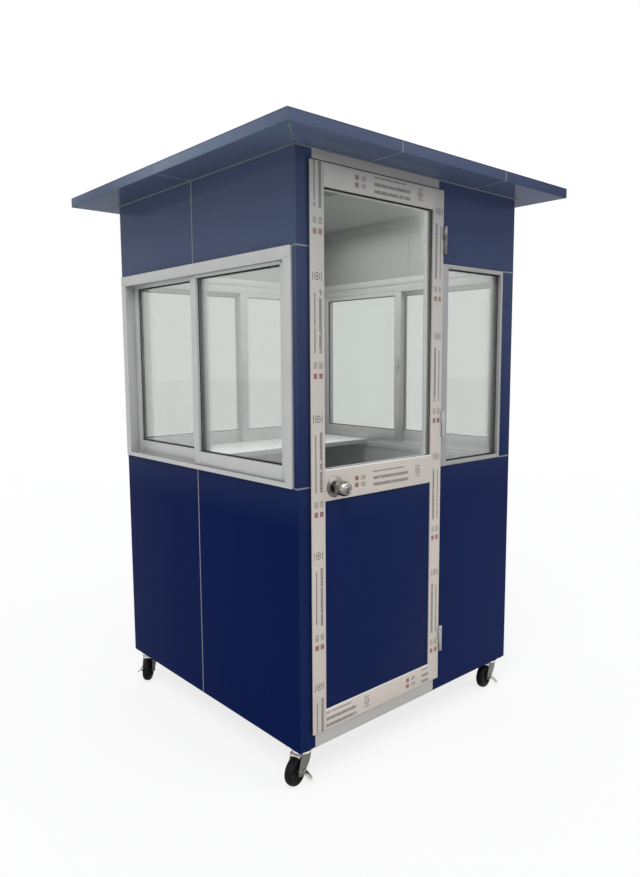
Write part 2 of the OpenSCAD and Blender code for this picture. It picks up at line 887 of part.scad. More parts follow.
// The back left castor carries its pedal on the other side
module at_castors(i) {
    if (i == 0) at_corner(-1, -1, heading_fl) children();
    if (i == 1) at_corner(1, -1, heading_fr) children();
    if (i == 2) at_corner(-1, 1, heading_bl) mirror([0, 1, 0]) children();
    if (i == 3) at_corner(1, 1, heading_br) children();
}

// Top plates with the upper race, kingpin and nut
module castor_plates() {
    color(steel) for (sx = [-1, 1], sy = [-1, 1])
        translate([sx * castor_x, sy * castor_y, 0]) {
            block([-plate_w / 2, -plate_w / 2, castor_h - castor_steel],
                  [plate_w / 2, plate_w / 2, castor_h]);
            translate([0, 0, race_mid_z + seat_gap])
                cylinder(r = race_r + race_lap, h = castor_h - castor_steel - race_mid_z - seat_gap);
            translate([0, 0, crown_z - nut_t])
                cylinder(r = kingpin_r, h = castor_h - castor_steel - crown_z + nut_t);
            translate([0, 0, crown_z - nut_t - seat_gap])
                cylinder(r = kingpin_r + 4, h = nut_t, $fn = 6);
        }
}

// A fork leg: broad below the crown, its front edge curves in to the axle
module fork_leg() {
    knee = [leg_front_x - 14, crown_z - 38];
    ankle = [-trail + 32, wheel_r];
    rotate([90, 0, 0]) linear_extrude(castor_steel) {
        polygon([[leg_front_x, race_z], [leg_back_x, race_z],
                 [-trail - leg_eye_r + 0.5, wheel_r + 4], [-trail + 11, wheel_r - 9],
                 ankle, knee, [leg_front_x - 4, crown_z - 12]]);
        translate([-trail, wheel_r]) circle(r = leg_eye_r);
    }
}

// Crown, lower race, two legs and the axle bolt
module fork() {
    color(steel) difference() {
        union() {
            block([crown_x[0], -fork_out, crown_z], [crown_x[1], fork_out, race_z]);
            translate([0, 0, race_z]) cylinder(r = race_r, h = race_mid_z - race_z);
            translate([0, fork_out, 0]) fork_leg();
            translate([0, -fork_in, 0]) fork_leg();
            translate([-trail, 0, wheel_r]) rotate([90, 0, 0]) {
                cylinder(r = axle_r, h = 2 * fork_out + 2 * pedal_t + 4, center = true);
                translate([0, 0, fork_out + pedal_t + 2 * seat_gap])
                    cylinder(r = nut_r, h = nut_t, $fn = 6);
                translate([0, 0, -fork_out - nut_t]) cylinder(r = nut_r, h = nut_t, $fn = 6);
            }
        }
        translate([0, 0, crown_z - 1])
            cylinder(r = kingpin_r + pin_gap, h = race_mid_z - crown_z + 2);
    }
}

// Wheel: tyre with rounded shoulders, dished sides and a boss on the axle
module wheel() {
    half = wheel_w / 2;
    boss = fork_in - seat_gap;
    shoulder = [for (a = [0 : 15 : 90])
        [wheel_r - shoulder_r + shoulder_r * cos(a), half - shoulder_r + shoulder_r * sin(a)]];
    side = [[rim_r, half], [rim_r - 3, half - dish], [hub_r, half - dish], [hub_r - 2, boss],
            [axle_r + pin_gap, boss]];
    outline = concat(shoulder, side);
    low = [for (i = [len(outline) - 1 : -1 : 0]) [outline[i][0], -outline[i][1]]];
    color(rubber) translate([-trail, 0, wheel_r]) rotate([90, 0, 0])
        rotate_extrude($fn = 96) polygon(concat(outline, low));
}

// Foot pedal of the wheel brake, turning on the axle outside the fork
module pedal() {
    y0 = -fork_out - seat_gap;
    color(silver) translate([-trail, y0, wheel_r]) difference() {
        union() {
            rotate([90, 0, 0]) cylinder(r = pedal_eye_r, h = pedal_t);
            block([-2, -pedal_t, -pedal_eye_r], [pedal_tab_x[1], 0, 3]);
            translate([0, 0, -2]) rotate([pedal_slope, 0, 0])
                block([pedal_tab_x[0], -pedal_reach / cos(pedal_slope), -pedal_t / 2],
                      [pedal_tab_x[1], -1, pedal_t / 2]);
        }
        rotate([90, 0, 0]) translate([0, 0, -1]) cylinder(r = axle_r + pin_gap, h = pedal_t + 2);
    }
}

module front_left_fork() { at_castors(0) fork(); }
module front_right_fork() { at_castors(1) fork(); }
module back_left_fork() { at_castors(2) fork(); }
module back_right_fork() { at_castors(3) fork(); }
module front_left_wheel() { at_castors(0) wheel(); }
module front_right_wheel() { at_castors(1) wheel(); }
module back_left_wheel() { at_castors(2) wheel(); }
module back_right_wheel() { at_castors(3) wheel(); }
module front_left_pedal() { at_castors(0) pedal(); }
module front_right_pedal() { at_castors(1) pedal(); }
module back_left_pedal() { at_castors(2) pedal(); }
module back_right_pedal() { at_castors(3) pedal(); }

base_side_tubes();
base_cross_tubes();
floor_deck();
corner_posts();
left_wall_core();
right_wall_core();
back_wall_core();
front_wall_core();
cladding_lower();
cladding_middle();
cladding_upper();
silicone_joints();
wall_lining();
roof_core();
roof_sheet();
fascia();
soffit();
ceiling();
cornice();
left_window_frame();
right_window_frame();
back_window_frame();
front_window_frame();
outer_sashes();
inner_sashes();
window_glass();
window_casings();
door_jambs();
door_head();
threshold();
frame_hinges();
door_stiles();
door_rails();
door_glass();
door_panel();
door_hinges();
lock_roses();
lock_faceplate();
outer_knob();
inner_knob();
desk_top();
desk_edging();
castor_plates();
front_left_fork();
front_right_fork();
back_left_fork();
back_right_fork();
front_left_wheel();
front_right_wheel();
back_left_wheel();
back_right_wheel();
front_left_pedal();
front_right_pedal();
back_left_pedal();
back_right_pedal();
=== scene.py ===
"""A security guard booth on four castors: its finishes, fine detail, stage and camera."""

import json
import math

import bmesh
import bpy
from mathutils import Matrix, Vector


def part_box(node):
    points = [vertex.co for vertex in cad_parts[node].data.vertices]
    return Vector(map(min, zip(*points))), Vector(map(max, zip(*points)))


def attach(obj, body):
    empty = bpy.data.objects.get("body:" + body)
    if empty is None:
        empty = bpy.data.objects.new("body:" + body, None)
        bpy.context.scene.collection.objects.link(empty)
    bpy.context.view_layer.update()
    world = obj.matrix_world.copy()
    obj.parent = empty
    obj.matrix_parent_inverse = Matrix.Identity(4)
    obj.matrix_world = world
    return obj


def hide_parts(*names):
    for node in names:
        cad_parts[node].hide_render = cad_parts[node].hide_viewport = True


bl_info = {
    "name": "Guard booth",
    "version": (1, 0, 0),
    "blender": (4, 5, 0),
    "location": "3D View > Sidebar > Booth",
    "description": "Dresses a guard booth's frame with its finishes and fine detail",
    "category": "Object",
}

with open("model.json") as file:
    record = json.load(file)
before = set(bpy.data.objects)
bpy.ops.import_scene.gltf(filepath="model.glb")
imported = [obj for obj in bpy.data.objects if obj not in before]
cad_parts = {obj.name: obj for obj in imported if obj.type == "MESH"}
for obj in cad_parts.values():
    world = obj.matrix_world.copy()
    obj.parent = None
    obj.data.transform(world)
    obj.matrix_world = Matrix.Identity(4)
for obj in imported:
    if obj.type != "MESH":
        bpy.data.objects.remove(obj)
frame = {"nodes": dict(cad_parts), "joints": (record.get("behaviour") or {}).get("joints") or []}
NODES = frame["nodes"]
JOINTS = {joint["name"]: joint for joint in frame["joints"]}
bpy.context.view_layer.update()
CORNERS = ("front_left", "front_right", "back_left", "back_right")
SLIDING = {"left": 0, "right": 180, "back": -90}  # walls with sliding windows, turned from the left
MM = 0.001
ORIGIN = (0, 0, 0)
TRAIL, AXLE = -42 * MM, 50 * MM  # a castor's axle: behind its kingpin, over the floor


# ---------- material maths ----------


def sign(operation, reflected=False):
    """The method behind one arithmetic sign between wires and numbers."""

    def method(self, other):
        values = (other, self) if reflected else (self, other)
        return self.maths(operation, *values)

    return method


class Wire:
    """One output of a node tree, which takes part in sums like a number."""

    def __init__(self, graph, socket):
        self.graph = graph
        self.socket = socket

    def beside(self, output):
        """Another output of the same node."""
        return Wire(self.graph, self.socket.node.outputs[output])

    def maths(self, operation, *values):
        return self.graph.node("Math", {"operation": operation}, dict(enumerate(values)))

    __add__ = sign("ADD")
    __radd__ = sign("ADD", True)
    __sub__ = sign("SUBTRACT")
    __rsub__ = sign("SUBTRACT", True)
    __mul__ = sign("MULTIPLY")
    __rmul__ = sign("MULTIPLY", True)
    __lt__ = sign("LESS_THAN")
    __gt__ = sign("GREATER_THAN")

    def __abs__(self):
        return self.maths("ABSOLUTE", self)

    def repeat(self, length):
        """Runs from 0 to length, again and again."""
        return self.maths("FLOORED_MODULO", self, length)

    def held(self, low, high):
        """0 at or below low, 1 at or above high, and straight between them."""
        sockets = {"Value": self, "From Min": low, "From Max": high}
        return self.graph.node("MapRange", {"clamp": True}, sockets)


class Graph:
    """The node tree of a material or a world, emptied and built up again."""

    def __init__(self, owner):
        owner.use_nodes = True
        self.tree = owner.node_tree
        self.tree.nodes.clear()

    def node(self, kind, settings=None, sockets=None, output=0):
        """Adds a node: its settings first, then the values or links of its sockets."""
        made = self.tree.nodes.new("ShaderNode" + kind)
        for name, value in (settings or {}).items():
            setattr(made, name, value)
        for name, value in (sockets or {}).items():
            if isinstance(value, Wire):
                self.tree.links.new(value.socket, made.inputs[name])
            else:
                made.inputs[name].default_value = value
        return Wire(self, made.outputs[output]) if made.outputs else None


class Finish(Graph):
    """A material under construction, with one shader at its end."""

    def __init__(self, name, slot=None):
        self.material = bpy.data.materials.new(name)
        super().__init__(self.material)
        self.place = self.node("TexCoord", output="Object")

    def axes(self):
        """The surface point's x, y and z as three wires."""
        split = self.node("SeparateXYZ", None, {0: self.place})
        return [split.beside(axis) for axis in range(3)]

    def noise(self, scale, detail=3.0, roughness=0.5, stretch=None):
        """Even noise, about 0.5 on average; stretch scales the pattern along each axis."""
        where = self.place
        if stretch:
            where = self.node("Mapping", None, {"Vector": where, "Scale": stretch})
        sockets = {"Vector": where, "Scale": scale, "Detail": detail, "Roughness": roughness}
        return self.node("TexNoise", None, sockets)

    def cells(self, scale):
        """Distance to the nearest point of an even scatter."""
        return self.node("TexVoronoi", None, {"Vector": self.place, "Scale": scale})

    def tint(self, factor, low, high):
        """The colour low where factor is 0 and high where it is 1."""
        settings = {"data_type": "RGBA", "clamp_factor": True}
        sockets = {0: factor, 6: colour(low), 7: colour(high)}
        return self.node("Mix", settings, sockets, 2)

    def shade(self, factor, value, low, high):
        """A colour times low where factor is 0 and times high where it is 1."""
        return self.tint(factor, scaled(value, low), scaled(value, high))

    def most(self, first, second):
        """The larger of two wires; the first may be None."""
        return second if first is None else first.maths("MAXIMUM", first, second)

    def bump(self, height, depth, under=None):
        """A normal raised by height, which runs from 0 to 1, to depth metres."""
        sockets = {"Height": height, "Distance": depth, "Strength": 1.0}
        if under:
            sockets["Normal"] = under
        return self.node("Bump", None, sockets)

    def surface(self, **sockets):
        """Ends the finish in a Principled shader, with its sockets set by their names."""
        named = {name.replace("_", " "): value for name, value in sockets.items()}
        return self.close(self.node("BsdfPrincipled", None, named))

    def close(self, shader):
        self.node("OutputMaterial", None, {"Surface": shader})
        return self.material


def colour(value):
    """A colour for a socket: a wire stays, and a property's three numbers get their alpha."""
    return value if isinstance(value, Wire) else (*value[:3], 1.0)


def scaled(value, share):
    """A colour's three numbers times share."""
    return tuple(part * share for part in tuple(value)[:3])


# ---------- mesh making ----------


def merged(node):
    """A mesh of a CAD node's triangles, joined at their points."""
    mesh = bmesh.new()
    mesh.from_mesh(NODES[node].data)
    bmesh.ops.remove_doubles(mesh, verts=mesh.verts, dist=1e-6)
    return mesh


def clean_copy(node):
    """A mesh of a CAD node's faces, with its flat triangles joined."""
    mesh = merged(node)
    bmesh.ops.dissolve_limit(
        mesh, angle_limit=math.radians(1), use_dissolve_boundaries=False,
        verts=mesh.verts, edges=mesh.edges, delimit=set(),
    )
    return mesh


def solids(node):
    """The lowest and highest corner of each separate solid of a CAD node."""
    mesh = merged(node)
    boxes = []
    left = set(mesh.verts)
    while left:
        found = {left.pop()}
        rim = list(found)
        while rim:
            vert = rim.pop()
            others = {edge.other_vert(vert) for edge in vert.link_edges} & left
            left -= others
            found |= others
            rim += others
        spots = [vert.co for vert in found]
        boxes.append(tuple(
            Vector([end(spot[axis] for spot in spots) for axis in range(3)]) for end in (min, max)
        ))
    mesh.free()
    return boxes


def ease(mesh, edges, offset, segments=2):
    """Rounds these edges."""
    bmesh.ops.bevel(
        mesh, geom=list(edges), offset=offset, offset_type="OFFSET", segments=segments,
        profile=0.5, affect="EDGES", clamp_overlap=True, material=-1,
    )


def sharp_edges(mesh, degrees=30):
    """The edges where two faces meet at more than that angle."""
    limit = math.radians(degrees)
    return [
        edge for edge in mesh.edges
        if len(edge.link_faces) == 2 and edge.calc_face_angle() > limit
    ]


def ease_rims(mesh, verts, degrees, offset):
    """Rounds the edges at these points where faces meet at more than that angle."""
    edges = {edge for vert in verts for edge in vert.link_edges}
    ease(mesh, [edge for edge in edges if edge.calc_face_angle(0) > math.radians(degrees)], offset)


def fresh(mesh, before):
    """The points that were made since before, the set of the older ones."""
    return [vert for vert in mesh.verts if vert not in before]


def face_outwards(mesh, verts):
    faces = {face for vert in verts for face in vert.link_faces}
    bmesh.ops.recalc_face_normals(mesh, faces=list(faces))


def thicken(mesh, faces, push):
    """Extrudes faces, moves the new ones by push, and returns their points."""
    grown = bmesh.ops.extrude_face_region(mesh, geom=faces, use_keep_orig=True)["geom"]
    tops = [part for part in grown if isinstance(part, bmesh.types.BMVert)]
    bmesh.ops.translate(mesh, vec=push, verts=tops)
    return tops


def placed(spot, degrees=0, axis="Z"):
    """The matrix that turns a shape about one axis and then sets it down on a spot."""
    return Matrix.Translation(spot) @ Matrix.Rotation(math.radians(degrees), 4, axis)


def at_axle(y, degrees=90):
    """Where a shape that is turned or cut flat sits on a castor's axle, y millimetres along."""
    return placed((TRAIL, y * MM, AXLE), degrees, "X")


def set_down(mesh, place):
    """Places a finished local mesh, and turns its faces out again if it was mirrored."""
    bmesh.ops.transform(mesh, matrix=place, verts=mesh.verts)
    if place.determinant() < 0:
        bmesh.ops.reverse_faces(mesh, faces=mesh.faces)


def add_box(mesh, low, high, rounding=0.0, segments=2):
    """Adds a box between two corners, with rounded edges, and returns its points."""
    low, high = Vector(low), Vector(high)
    made = bmesh.ops.create_cube(mesh, size=1.0)["verts"]
    bmesh.ops.scale(mesh, vec=high - low, verts=made)
    bmesh.ops.translate(mesh, vec=(low + high) / 2, verts=made)
    if rounding:
        edges = {edge for vert in made for edge in vert.link_edges}
        before = set(mesh.verts) - set(made)
        ease(mesh, edges, rounding, segments)
        made = fresh(mesh, before)
    return made


def add_near(mesh, spot, low, high, rounding=0.0, segments=2):
    """Adds a box whose corners and rounding are in millimetres, counted from a spot."""
    corners = [Vector(spot) + Vector(corner) * MM for corner in (low, high)]
    return add_box(mesh, *corners, rounding * MM, segments)


def add_turned(mesh, outline, steps=48, place=None):
    """Adds an outline of (radius, height) pairs in millimetres, spun round Z and then placed."""
    before = set(mesh.verts)
    verts = [mesh.verts.new((radius * MM, 0, height * MM)) for radius, height in outline]
    edges = [mesh.edges.new(pair) for pair in zip(verts, verts[1:])]
    bmesh.ops.spin(
        mesh, geom=verts + edges, cent=(0, 0, 0), axis=(0, 0, 1), dvec=(0, 0, 0),
        angle=2 * math.pi, steps=steps, use_merge=True, use_normal_flip=False,
    )
    bmesh.ops.remove_doubles(mesh, verts=fresh(mesh, before), dist=1e-6)
    made = fresh(mesh, before)
    face_outwards(mesh, made)
    if place:
        bmesh.ops.transform(mesh, matrix=place, verts=made)


def add_prism(mesh, outline, thickness, corners, edge, place):
    """Adds a plate: a flat outline in XY, thickened upwards, its corners rounded and its edges
    eased by millimetres, as all its sizes are."""
    before = set(mesh.verts)
    verts = [mesh.verts.new((x * MM, y * MM, 0)) for x, y in outline]
    mesh.faces.new(verts)
    for index, radius in corners.items():
        bmesh.ops.bevel(
            mesh, geom=[verts[index]], offset=radius * MM, offset_type="OFFSET", segments=6,
            profile=0.5, affect="VERTICES", clamp_overlap=True, material=-1,
        )
    face = [one for one in mesh.faces if not set(one.verts) & before][0]
    thicken(mesh, [face], (0, 0, thickness * MM))
    made = fresh(mesh, before)
    face_outwards(mesh, made)
    ease_rims(mesh, made, 50, edge * MM)
    bmesh.ops.transform(mesh, matrix=place, verts=fresh(mesh, before))


def add_ring(mesh, low, high, width, depth, slope, rounding=0.0):
    """Adds a mitred ring round a pane. The box low-high is flat along the axis that it fills
    by depth; slope narrows the ring's front by that much, as on a glazing bead."""
    low, high = Vector(low), Vector(high)
    size, middle = high - low, (low + high) / 2
    flat = min(range(3), key=lambda axis: abs(size[axis]))
    across, up = [axis for axis in range(3) if axis != flat]
    before = set(mesh.verts)
    bmesh.ops.create_grid(mesh, x_segments=1, y_segments=1, size=0.5)
    own = fresh(mesh, before)
    for vert in own:
        spot = low.copy()
        spot[across] = middle[across] + vert.co.x * size[across]
        spot[up] = middle[up] + vert.co.y * size[up]
        vert.co = spot
    face = list(own[0].link_faces)[0]
    face.normal_update()
    bmesh.ops.inset_region(
        mesh, faces=[face], thickness=width, use_even_offset=True, use_boundary=True,
    )
    bmesh.ops.delete(mesh, geom=[face], context="FACES")
    ring = {one for vert in fresh(mesh, before) for one in vert.link_faces}
    push = Vector((0, 0, 0))
    push[flat] = depth
    for vert in thicken(mesh, list(ring), push):
        for axis in (across, up):
            half = size[axis] / 2 - width
            if abs(abs(vert.co[axis] - middle[axis]) - half) < 1e-6:
                vert.co[axis] += math.copysign(slope, vert.co[axis] - middle[axis])
    own = fresh(mesh, before)
    face_outwards(mesh, own)
    if rounding:
        ease_rims(mesh, own, 30, rounding)


def add_hex(mesh, radius, height, place):
    """Adds a hexagon bolt head or nut with a chamfered rim, on its washer, in millimetres."""
    before = set(mesh.verts)
    bmesh.ops.create_cone(
        mesh, cap_ends=True, cap_tris=False, segments=6, radius1=radius * MM,
        radius2=radius * MM, depth=height * MM, matrix=Matrix.Translation((0, 0, height * MM / 2)),
    )
    edges = {edge for vert in fresh(mesh, before) for edge in vert.link_edges}
    ease(mesh, edges, radius * 0.1 * MM)
    washer = radius * 1.25
    add_turned(mesh, [(0, 0), (washer, 0), (washer, 1.2), (0, 1.2)], 32)
    bmesh.ops.transform(mesh, matrix=place, verts=fresh(mesh, before))


def show(mesh, name, finish, stands_for=(), body="booth", smooth=35):
    """Makes a finished piece of a mesh: it rides on a body and may stand for CAD nodes."""
    data = bpy.data.meshes.new(name)
    mesh.to_mesh(data)
    mesh.free()
    if not data.polygons:
        raise RuntimeError(f"{name} came out empty")
    data.polygons.foreach_set("use_smooth", [True] * len(data.polygons))
    data.set_sharp_from_angle(angle=math.radians(smooth))
    data.materials.append(finish)
    piece = bpy.data.objects.new(name, data)
    bpy.context.scene.collection.objects.link(piece)
    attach(piece, body)
    if stands_for:
        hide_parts(*stands_for)


def dress(node, name, finish, rounding, segments=2, body="booth", smooth=35):
    """A CAD node's shape with eased edges, shown in its place."""
    mesh = clean_copy(node)
    ease(mesh, sharp_edges(mesh), rounding, segments)
    show(mesh, name, finish, [node], body, smooth)


def paint(node, finish):
    """A CAD node keeps its shape and gets this finish."""
    slots = NODES[node].data.materials
    slots.clear()
    slots.append(finish)


# ---------- settings ----------


def number_setting(name, text, value, **kind):
    return bpy.props.FloatProperty(name=name, description=text, default=value, **kind)


def share_setting(name, text, value):
    return number_setting(name, text, value, subtype="FACTOR", min=0.0, max=1.0)


def length_setting(name, text, value):
    return number_setting(name, text, value, subtype="DISTANCE", unit="LENGTH", min=0.0)


def angle_setting(name, text, degrees):
    value = math.radians(degrees)
    return number_setting(name, text, value, subtype="ANGLE", unit="ROTATION")


def colour_setting(name, of, value):
    return bpy.props.FloatVectorProperty(
        name=name, description="Colour of " + of, subtype="COLOR", size=3, min=0.0, max=1.0,
        default=value,
    )


class BoothPanelSettings(bpy.types.PropertyGroup):
    """The navy composite panels of the walls and the roof."""

    navy: colour_setting("Navy", "the panels' lacquer", (0.0022, 0.0088, 0.0600))
    # painted sky reflection: the panels are tinted towards this colour, by up to this share, where
    # they mirror the bright sky
    painted_sky_light: colour_setting("Haze", "the bloom on the upper panels", (0.165, 0.205, 0.280))
    painted_sky_light_share: share_setting("Haze share", "How strong the bloom is where it is full", 0.9)
    fold: length_setting("Fold radius", "Outer radius of the folded corners", 3 * MM)
    gloss: share_setting("Roughness", "Roughness of the lacquer", 0.16)
    sealant: colour_setting("Sealant", "the silicone joints", (0.15, 0.16, 0.175))


class BoothWindowSettings(bpy.types.PropertyGroup):
    """The aluminium windows, their glass and rubber."""

    aluminium: colour_setting("Aluminium", "the anodised frames", (0.46, 0.46, 0.455))
    doorway: colour_setting("Doorway", "jambs, head and threshold", (0.43, 0.415, 0.395))
    glass: colour_setting("Glass", "one glass face", (0.872, 0.885, 0.874))
    rubber: colour_setting("Rubber", "the glazing rubber", (0.012, 0.012, 0.013))
    rubber_width: length_setting("Rubber width", "Width of the rubber round a pane", 3.5 * MM)
    rubber_depth: length_setting("Rubber depth", "How far the rubber stands off the glass", 2 * MM)
    edge: length_setting("Edge", "Rounding of the frames' edges", 0.8 * MM)


class BoothDoorSettings(bpy.types.PropertyGroup):
    """The door leaf with the protective film on its frame."""

    film: colour_setting("Film", "the film on stiles and rails", (0.460, 0.410, 0.365))
    film_shade: colour_setting("Shaded film", "the film under the roof", (0.365, 0.358, 0.340))
    print_dark: colour_setting("Dark marks", "the film's dark marks", (0.012, 0.012, 0.018))
    print_red: colour_setting("Red marks", "the film's red marks", (0.17, 0.010, 0.022))
    # painted shade: the colour of the red marks under the roof
    print_brown: colour_setting("Aged marks", "the red marks under the roof", (0.135, 0.075, 0.040))
    bead: length_setting("Bead width", "Width of the glazing beads", 5 * MM)
    strip: length_setting("Strip height", "Height of the strip under glass and panel", 3.5 * MM)
    edge: length_setting("Edge", "Rounding of the leaf's edges", 1 * MM)


class BoothHardwareSettings(bpy.types.PropertyGroup):
    """Knob, rose, hinges and latch plate."""

    stainless: colour_setting("Stainless", "the knob and rose", (0.50, 0.48, 0.45))
    hinge: colour_setting("Hinge", "the hinge barrels", (0.40, 0.40, 0.40))
    keyhole_radius: length_setting("Key plug", "Radius of the knob's key plug", 8.5 * MM)


class BoothRoomSettings(bpy.types.PropertyGroup):
    """The lining, ceiling, floor and desk inside the cabin."""

    lining: colour_setting("Lining", "the inner wall panels", (0.215, 0.222, 0.215))
    ceiling: colour_setting("Ceiling", "the ceiling", (0.37, 0.378, 0.37))
    cornice: colour_setting("Cornice", "the cornice strips", (0.245, 0.252, 0.245))
    floor: colour_setting("Floor", "the vinyl floor", (0.16, 0.155, 0.145))
    vent: length_setting("Vent", "Side of the square ceiling vent", 200 * MM)
    vent_place: bpy.props.FloatVectorProperty(
        name="Vent's place", description="Middle of the ceiling vent", size=2,
        subtype="COORDINATES", unit="LENGTH", default=(-0.15, -0.25),
    )
    desk: colour_setting("Desk", "the desk's laminate", (0.90, 0.90, 0.89))
    edging: colour_setting("Edging", "the desk's edging", (0.40, 0.41, 0.42))


class BoothCastorSettings(bpy.types.PropertyGroup):
    """The four castors and the steel base over them."""

    zinc: colour_setting("Zinc", "the plated forks and plates", (0.20, 0.187, 0.172))
    chrome: colour_setting("Chrome", "the brake pedals", (0.50, 0.49, 0.47))
    rubber: colour_setting("Tyre", "the tyres", (0.005, 0.005, 0.005))
    base: colour_setting("Base", "the base frame's primer", (0.10, 0.105, 0.115))
    dust: colour_setting("Dust", "the dust on the tread", (0.020, 0.019, 0.018))


class BoothStageSettings(bpy.types.PropertyGroup):
    """The floor, the light and the camera."""

    floor: colour_setting("Floor", "the stage's floor", (0.90, 0.90, 0.90))
    sky: number_setting("Sky", "Strength of the even light all round", 0.62, min=0.0)
    key: number_setting("Key", "Strength of the soft lamp from the left", 1.5, min=0.0)
    fill: number_setting("Fill", "Strength of the soft lamp from the front", 0.5, min=0.0)
    cabin: number_setting("Cabin", "Strength of the lamp under the ceiling", 12.5, min=0.0)
    eye: bpy.props.FloatVectorProperty(
        name="Camera", description="Where the camera stands", subtype="TRANSLATION",
        unit="LENGTH", default=(-2.0416, -2.3424, 1.4681),
    )
    yaw: angle_setting("Yaw", "Camera's turn from +Y towards +X", 41.46)
    pitch: angle_setting("Pitch", "Camera's tilt below the horizon", 6.46)
    roll: angle_setting("Roll", "Camera's turn about its own axis", -0.32)
    lens: number_setting(
        "Lens", "Focal length on a 36 mm sensor", 28.92, subtype="DISTANCE_CAMERA",
        unit="CAMERA", min=1.0,
    )


# ---------- finishes ----------


def wall_sky_light(x, y, z):
    """Painted sky reflection on the walls: it grows with height and is fuller on the left wall."""
    low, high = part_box("cladding_lower")[0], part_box("roof_sheet")[1]
    tall = high.z - low.z
    rise = z.held(low.z + 0.38 * tall, low.z + 0.80 * tall)
    front = x.held(low.x + 0.5 * MM, low.x + 3 * MM)
    return rise * (0.42 - 0.20 * front) + 0.035 * front


def fascia_sky_light(x, y, z):
    """Painted light on the roof's edges: full along the left, and thinning out at the far ends."""
    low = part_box("fascia")[0]
    left = 0.58 + 0.42 * y.held(low.y, -0.2) - 0.45 * y.held(0.0, 0.45)
    front = 0.50 - 0.30 * x.held(-0.1, 0.75)
    on_front = x.held(low.x + 2 * MM, low.x + 4 * MM)
    return left * (1 - on_front) + front * on_front


def soffit_sky_light(x, y, z):
    """Painted light under the eaves, which thins out away from the front left corner."""
    return 0.54 - 0.16 * (x + y).held(-1.4, 0.1)


def panel_finish(settings, name, sky_light):
    """Glossy lacquer with a slow waviness and a painted sky reflection, whose share follows from x,
    y and z.
    """
    finish = Finish(name, "navy_panel")
    cloud = finish.noise(1.7, 4.0, 0.55)
    grain = finish.noise(420.0, 2.0)
    # the share of painted sky reflection and light over the lacquer
    share = sky_light(*finish.axes()) * settings.painted_sky_light_share * (0.8 + 0.4 * cloud)
    lacquer = finish.shade(cloud, settings.navy, 0.93, 1.07)
    waves = finish.bump(finish.noise(2.6, 1.0), 0.0016)
    return finish.surface(
        Base_Color=finish.tint(share, lacquer, settings.painted_sky_light),
        Roughness=settings.gloss + 0.05 * cloud + 0.03 * grain, IOR=1.03,
        Coat_Weight=0.08 + share * 0.2, Coat_IOR=1.30, Coat_Roughness=0.08,
        Normal=finish.bump(grain, 0.000012, waves),
    )


def sealant_finish(settings):
    """Smeared grey silicone."""
    finish = Finish("grey_silicone", "sealant")
    smear = finish.noise(55.0, 4.0, 0.6)
    base = finish.shade(smear, settings.sealant, 0.85, 1.2)
    normal = finish.bump(finish.noise(120.0, 2.0), 0.0004)
    return finish.surface(Base_Color=base, Roughness=0.42 + 0.15 * smear, Normal=normal)


def aluminium_finish(name, base_colour, roughness=0.36, metal=0.35):
    """Anodised aluminium: a fine draw line along the bars and a soft sheen."""
    finish = Finish(name, "window_aluminium")
    level = finish.noise(900.0, 2.0, 0.5, (1.0, 0.012, 1.0))
    upright = finish.noise(900.0, 2.0, 0.5, (1.0, 1.0, 0.012))
    lines = (level + upright) * 0.5
    cloud = finish.noise(6.0, 3.0)
    smudge = cloud.held(0.35, 0.7) * 0.5 + lines * 0.5
    base = finish.shade(smudge, base_colour, 0.95, 1.05)
    rough = roughness - 0.06 + 0.08 * cloud + 0.06 * lines
    normal = finish.bump(lines, 0.00002)
    return finish.surface(Base_Color=base, Roughness=rough, Metallic=metal, Normal=normal)


def metal_finish(name, slot, base_colour, roughness, blotch=0.12, painted_shade=None):
    """Plated or polished steel with faint handling marks. Its last argument, a pair of heights,
    paints shade:
    the steel goes from darkened at the first height to its own colour at the second, with a mottled
    painted reflection."""
    finish = Finish(name, slot)
    cloud = finish.noise(38.0, 4.0, 0.6)
    fine = finish.noise(900.0, 2.0)
    base = finish.shade(cloud, base_colour, 1 - blotch, 1 + blotch)
    if painted_shade:
        # painted shade and reflection: darkened at the first height, lit at the second, mottled by
        # the cloud
        painted_light = finish.axes()[2].held(*painted_shade) * 0.75 + 0.5 * cloud.held(0.4, 0.65)
        base = finish.tint(painted_light, scaled(base_colour, 0.22), base)
    rough = roughness * (0.75 + 0.5 * cloud) + 0.03 * fine
    normal = finish.bump(fine, 0.00003)
    return finish.surface(Base_Color=base, Roughness=rough, Metallic=1.0, Normal=normal)


def rubber_finish(name, base_colour, dust=None, roughness=0.5):
    """Black rubber; with a dust colour it is greyed where it rolls."""
    finish = Finish(name, "castor_rubber")
    cloud = finish.noise(60.0, 4.0, 0.6)
    base = finish.shade(cloud, base_colour, 0.8, 1.4)
    if dust:
        low = (1 - finish.axes()[2].held(0.0, 0.03)) * 0.5 + 0.12
        base = finish.tint(low * cloud, base, dust)
    rough = roughness + 0.15 * (cloud - 0.5)
    normal = finish.bump(finish.noise(1500.0, 2.0), 0.00004)
    return finish.surface(Base_Color=base, Roughness=rough, IOR=1.18, Normal=normal)


def board_finish(name, slot, base_colour, roughness=0.4, orange_peel=0.00006):
    """Painted or laminated board: orange peel and a faint unevenness."""
    finish = Finish(name, slot)
    cloud = finish.noise(3.0, 4.0, 0.6)
    base = finish.shade(cloud, base_colour, 0.95, 1.05)
    rough = roughness + 0.12 * (cloud - 0.5)
    normal = finish.bump(finish.noise(260.0, 2.0), orange_peel)
    return finish.surface(Base_Color=base, Roughness=rough, Normal=normal)


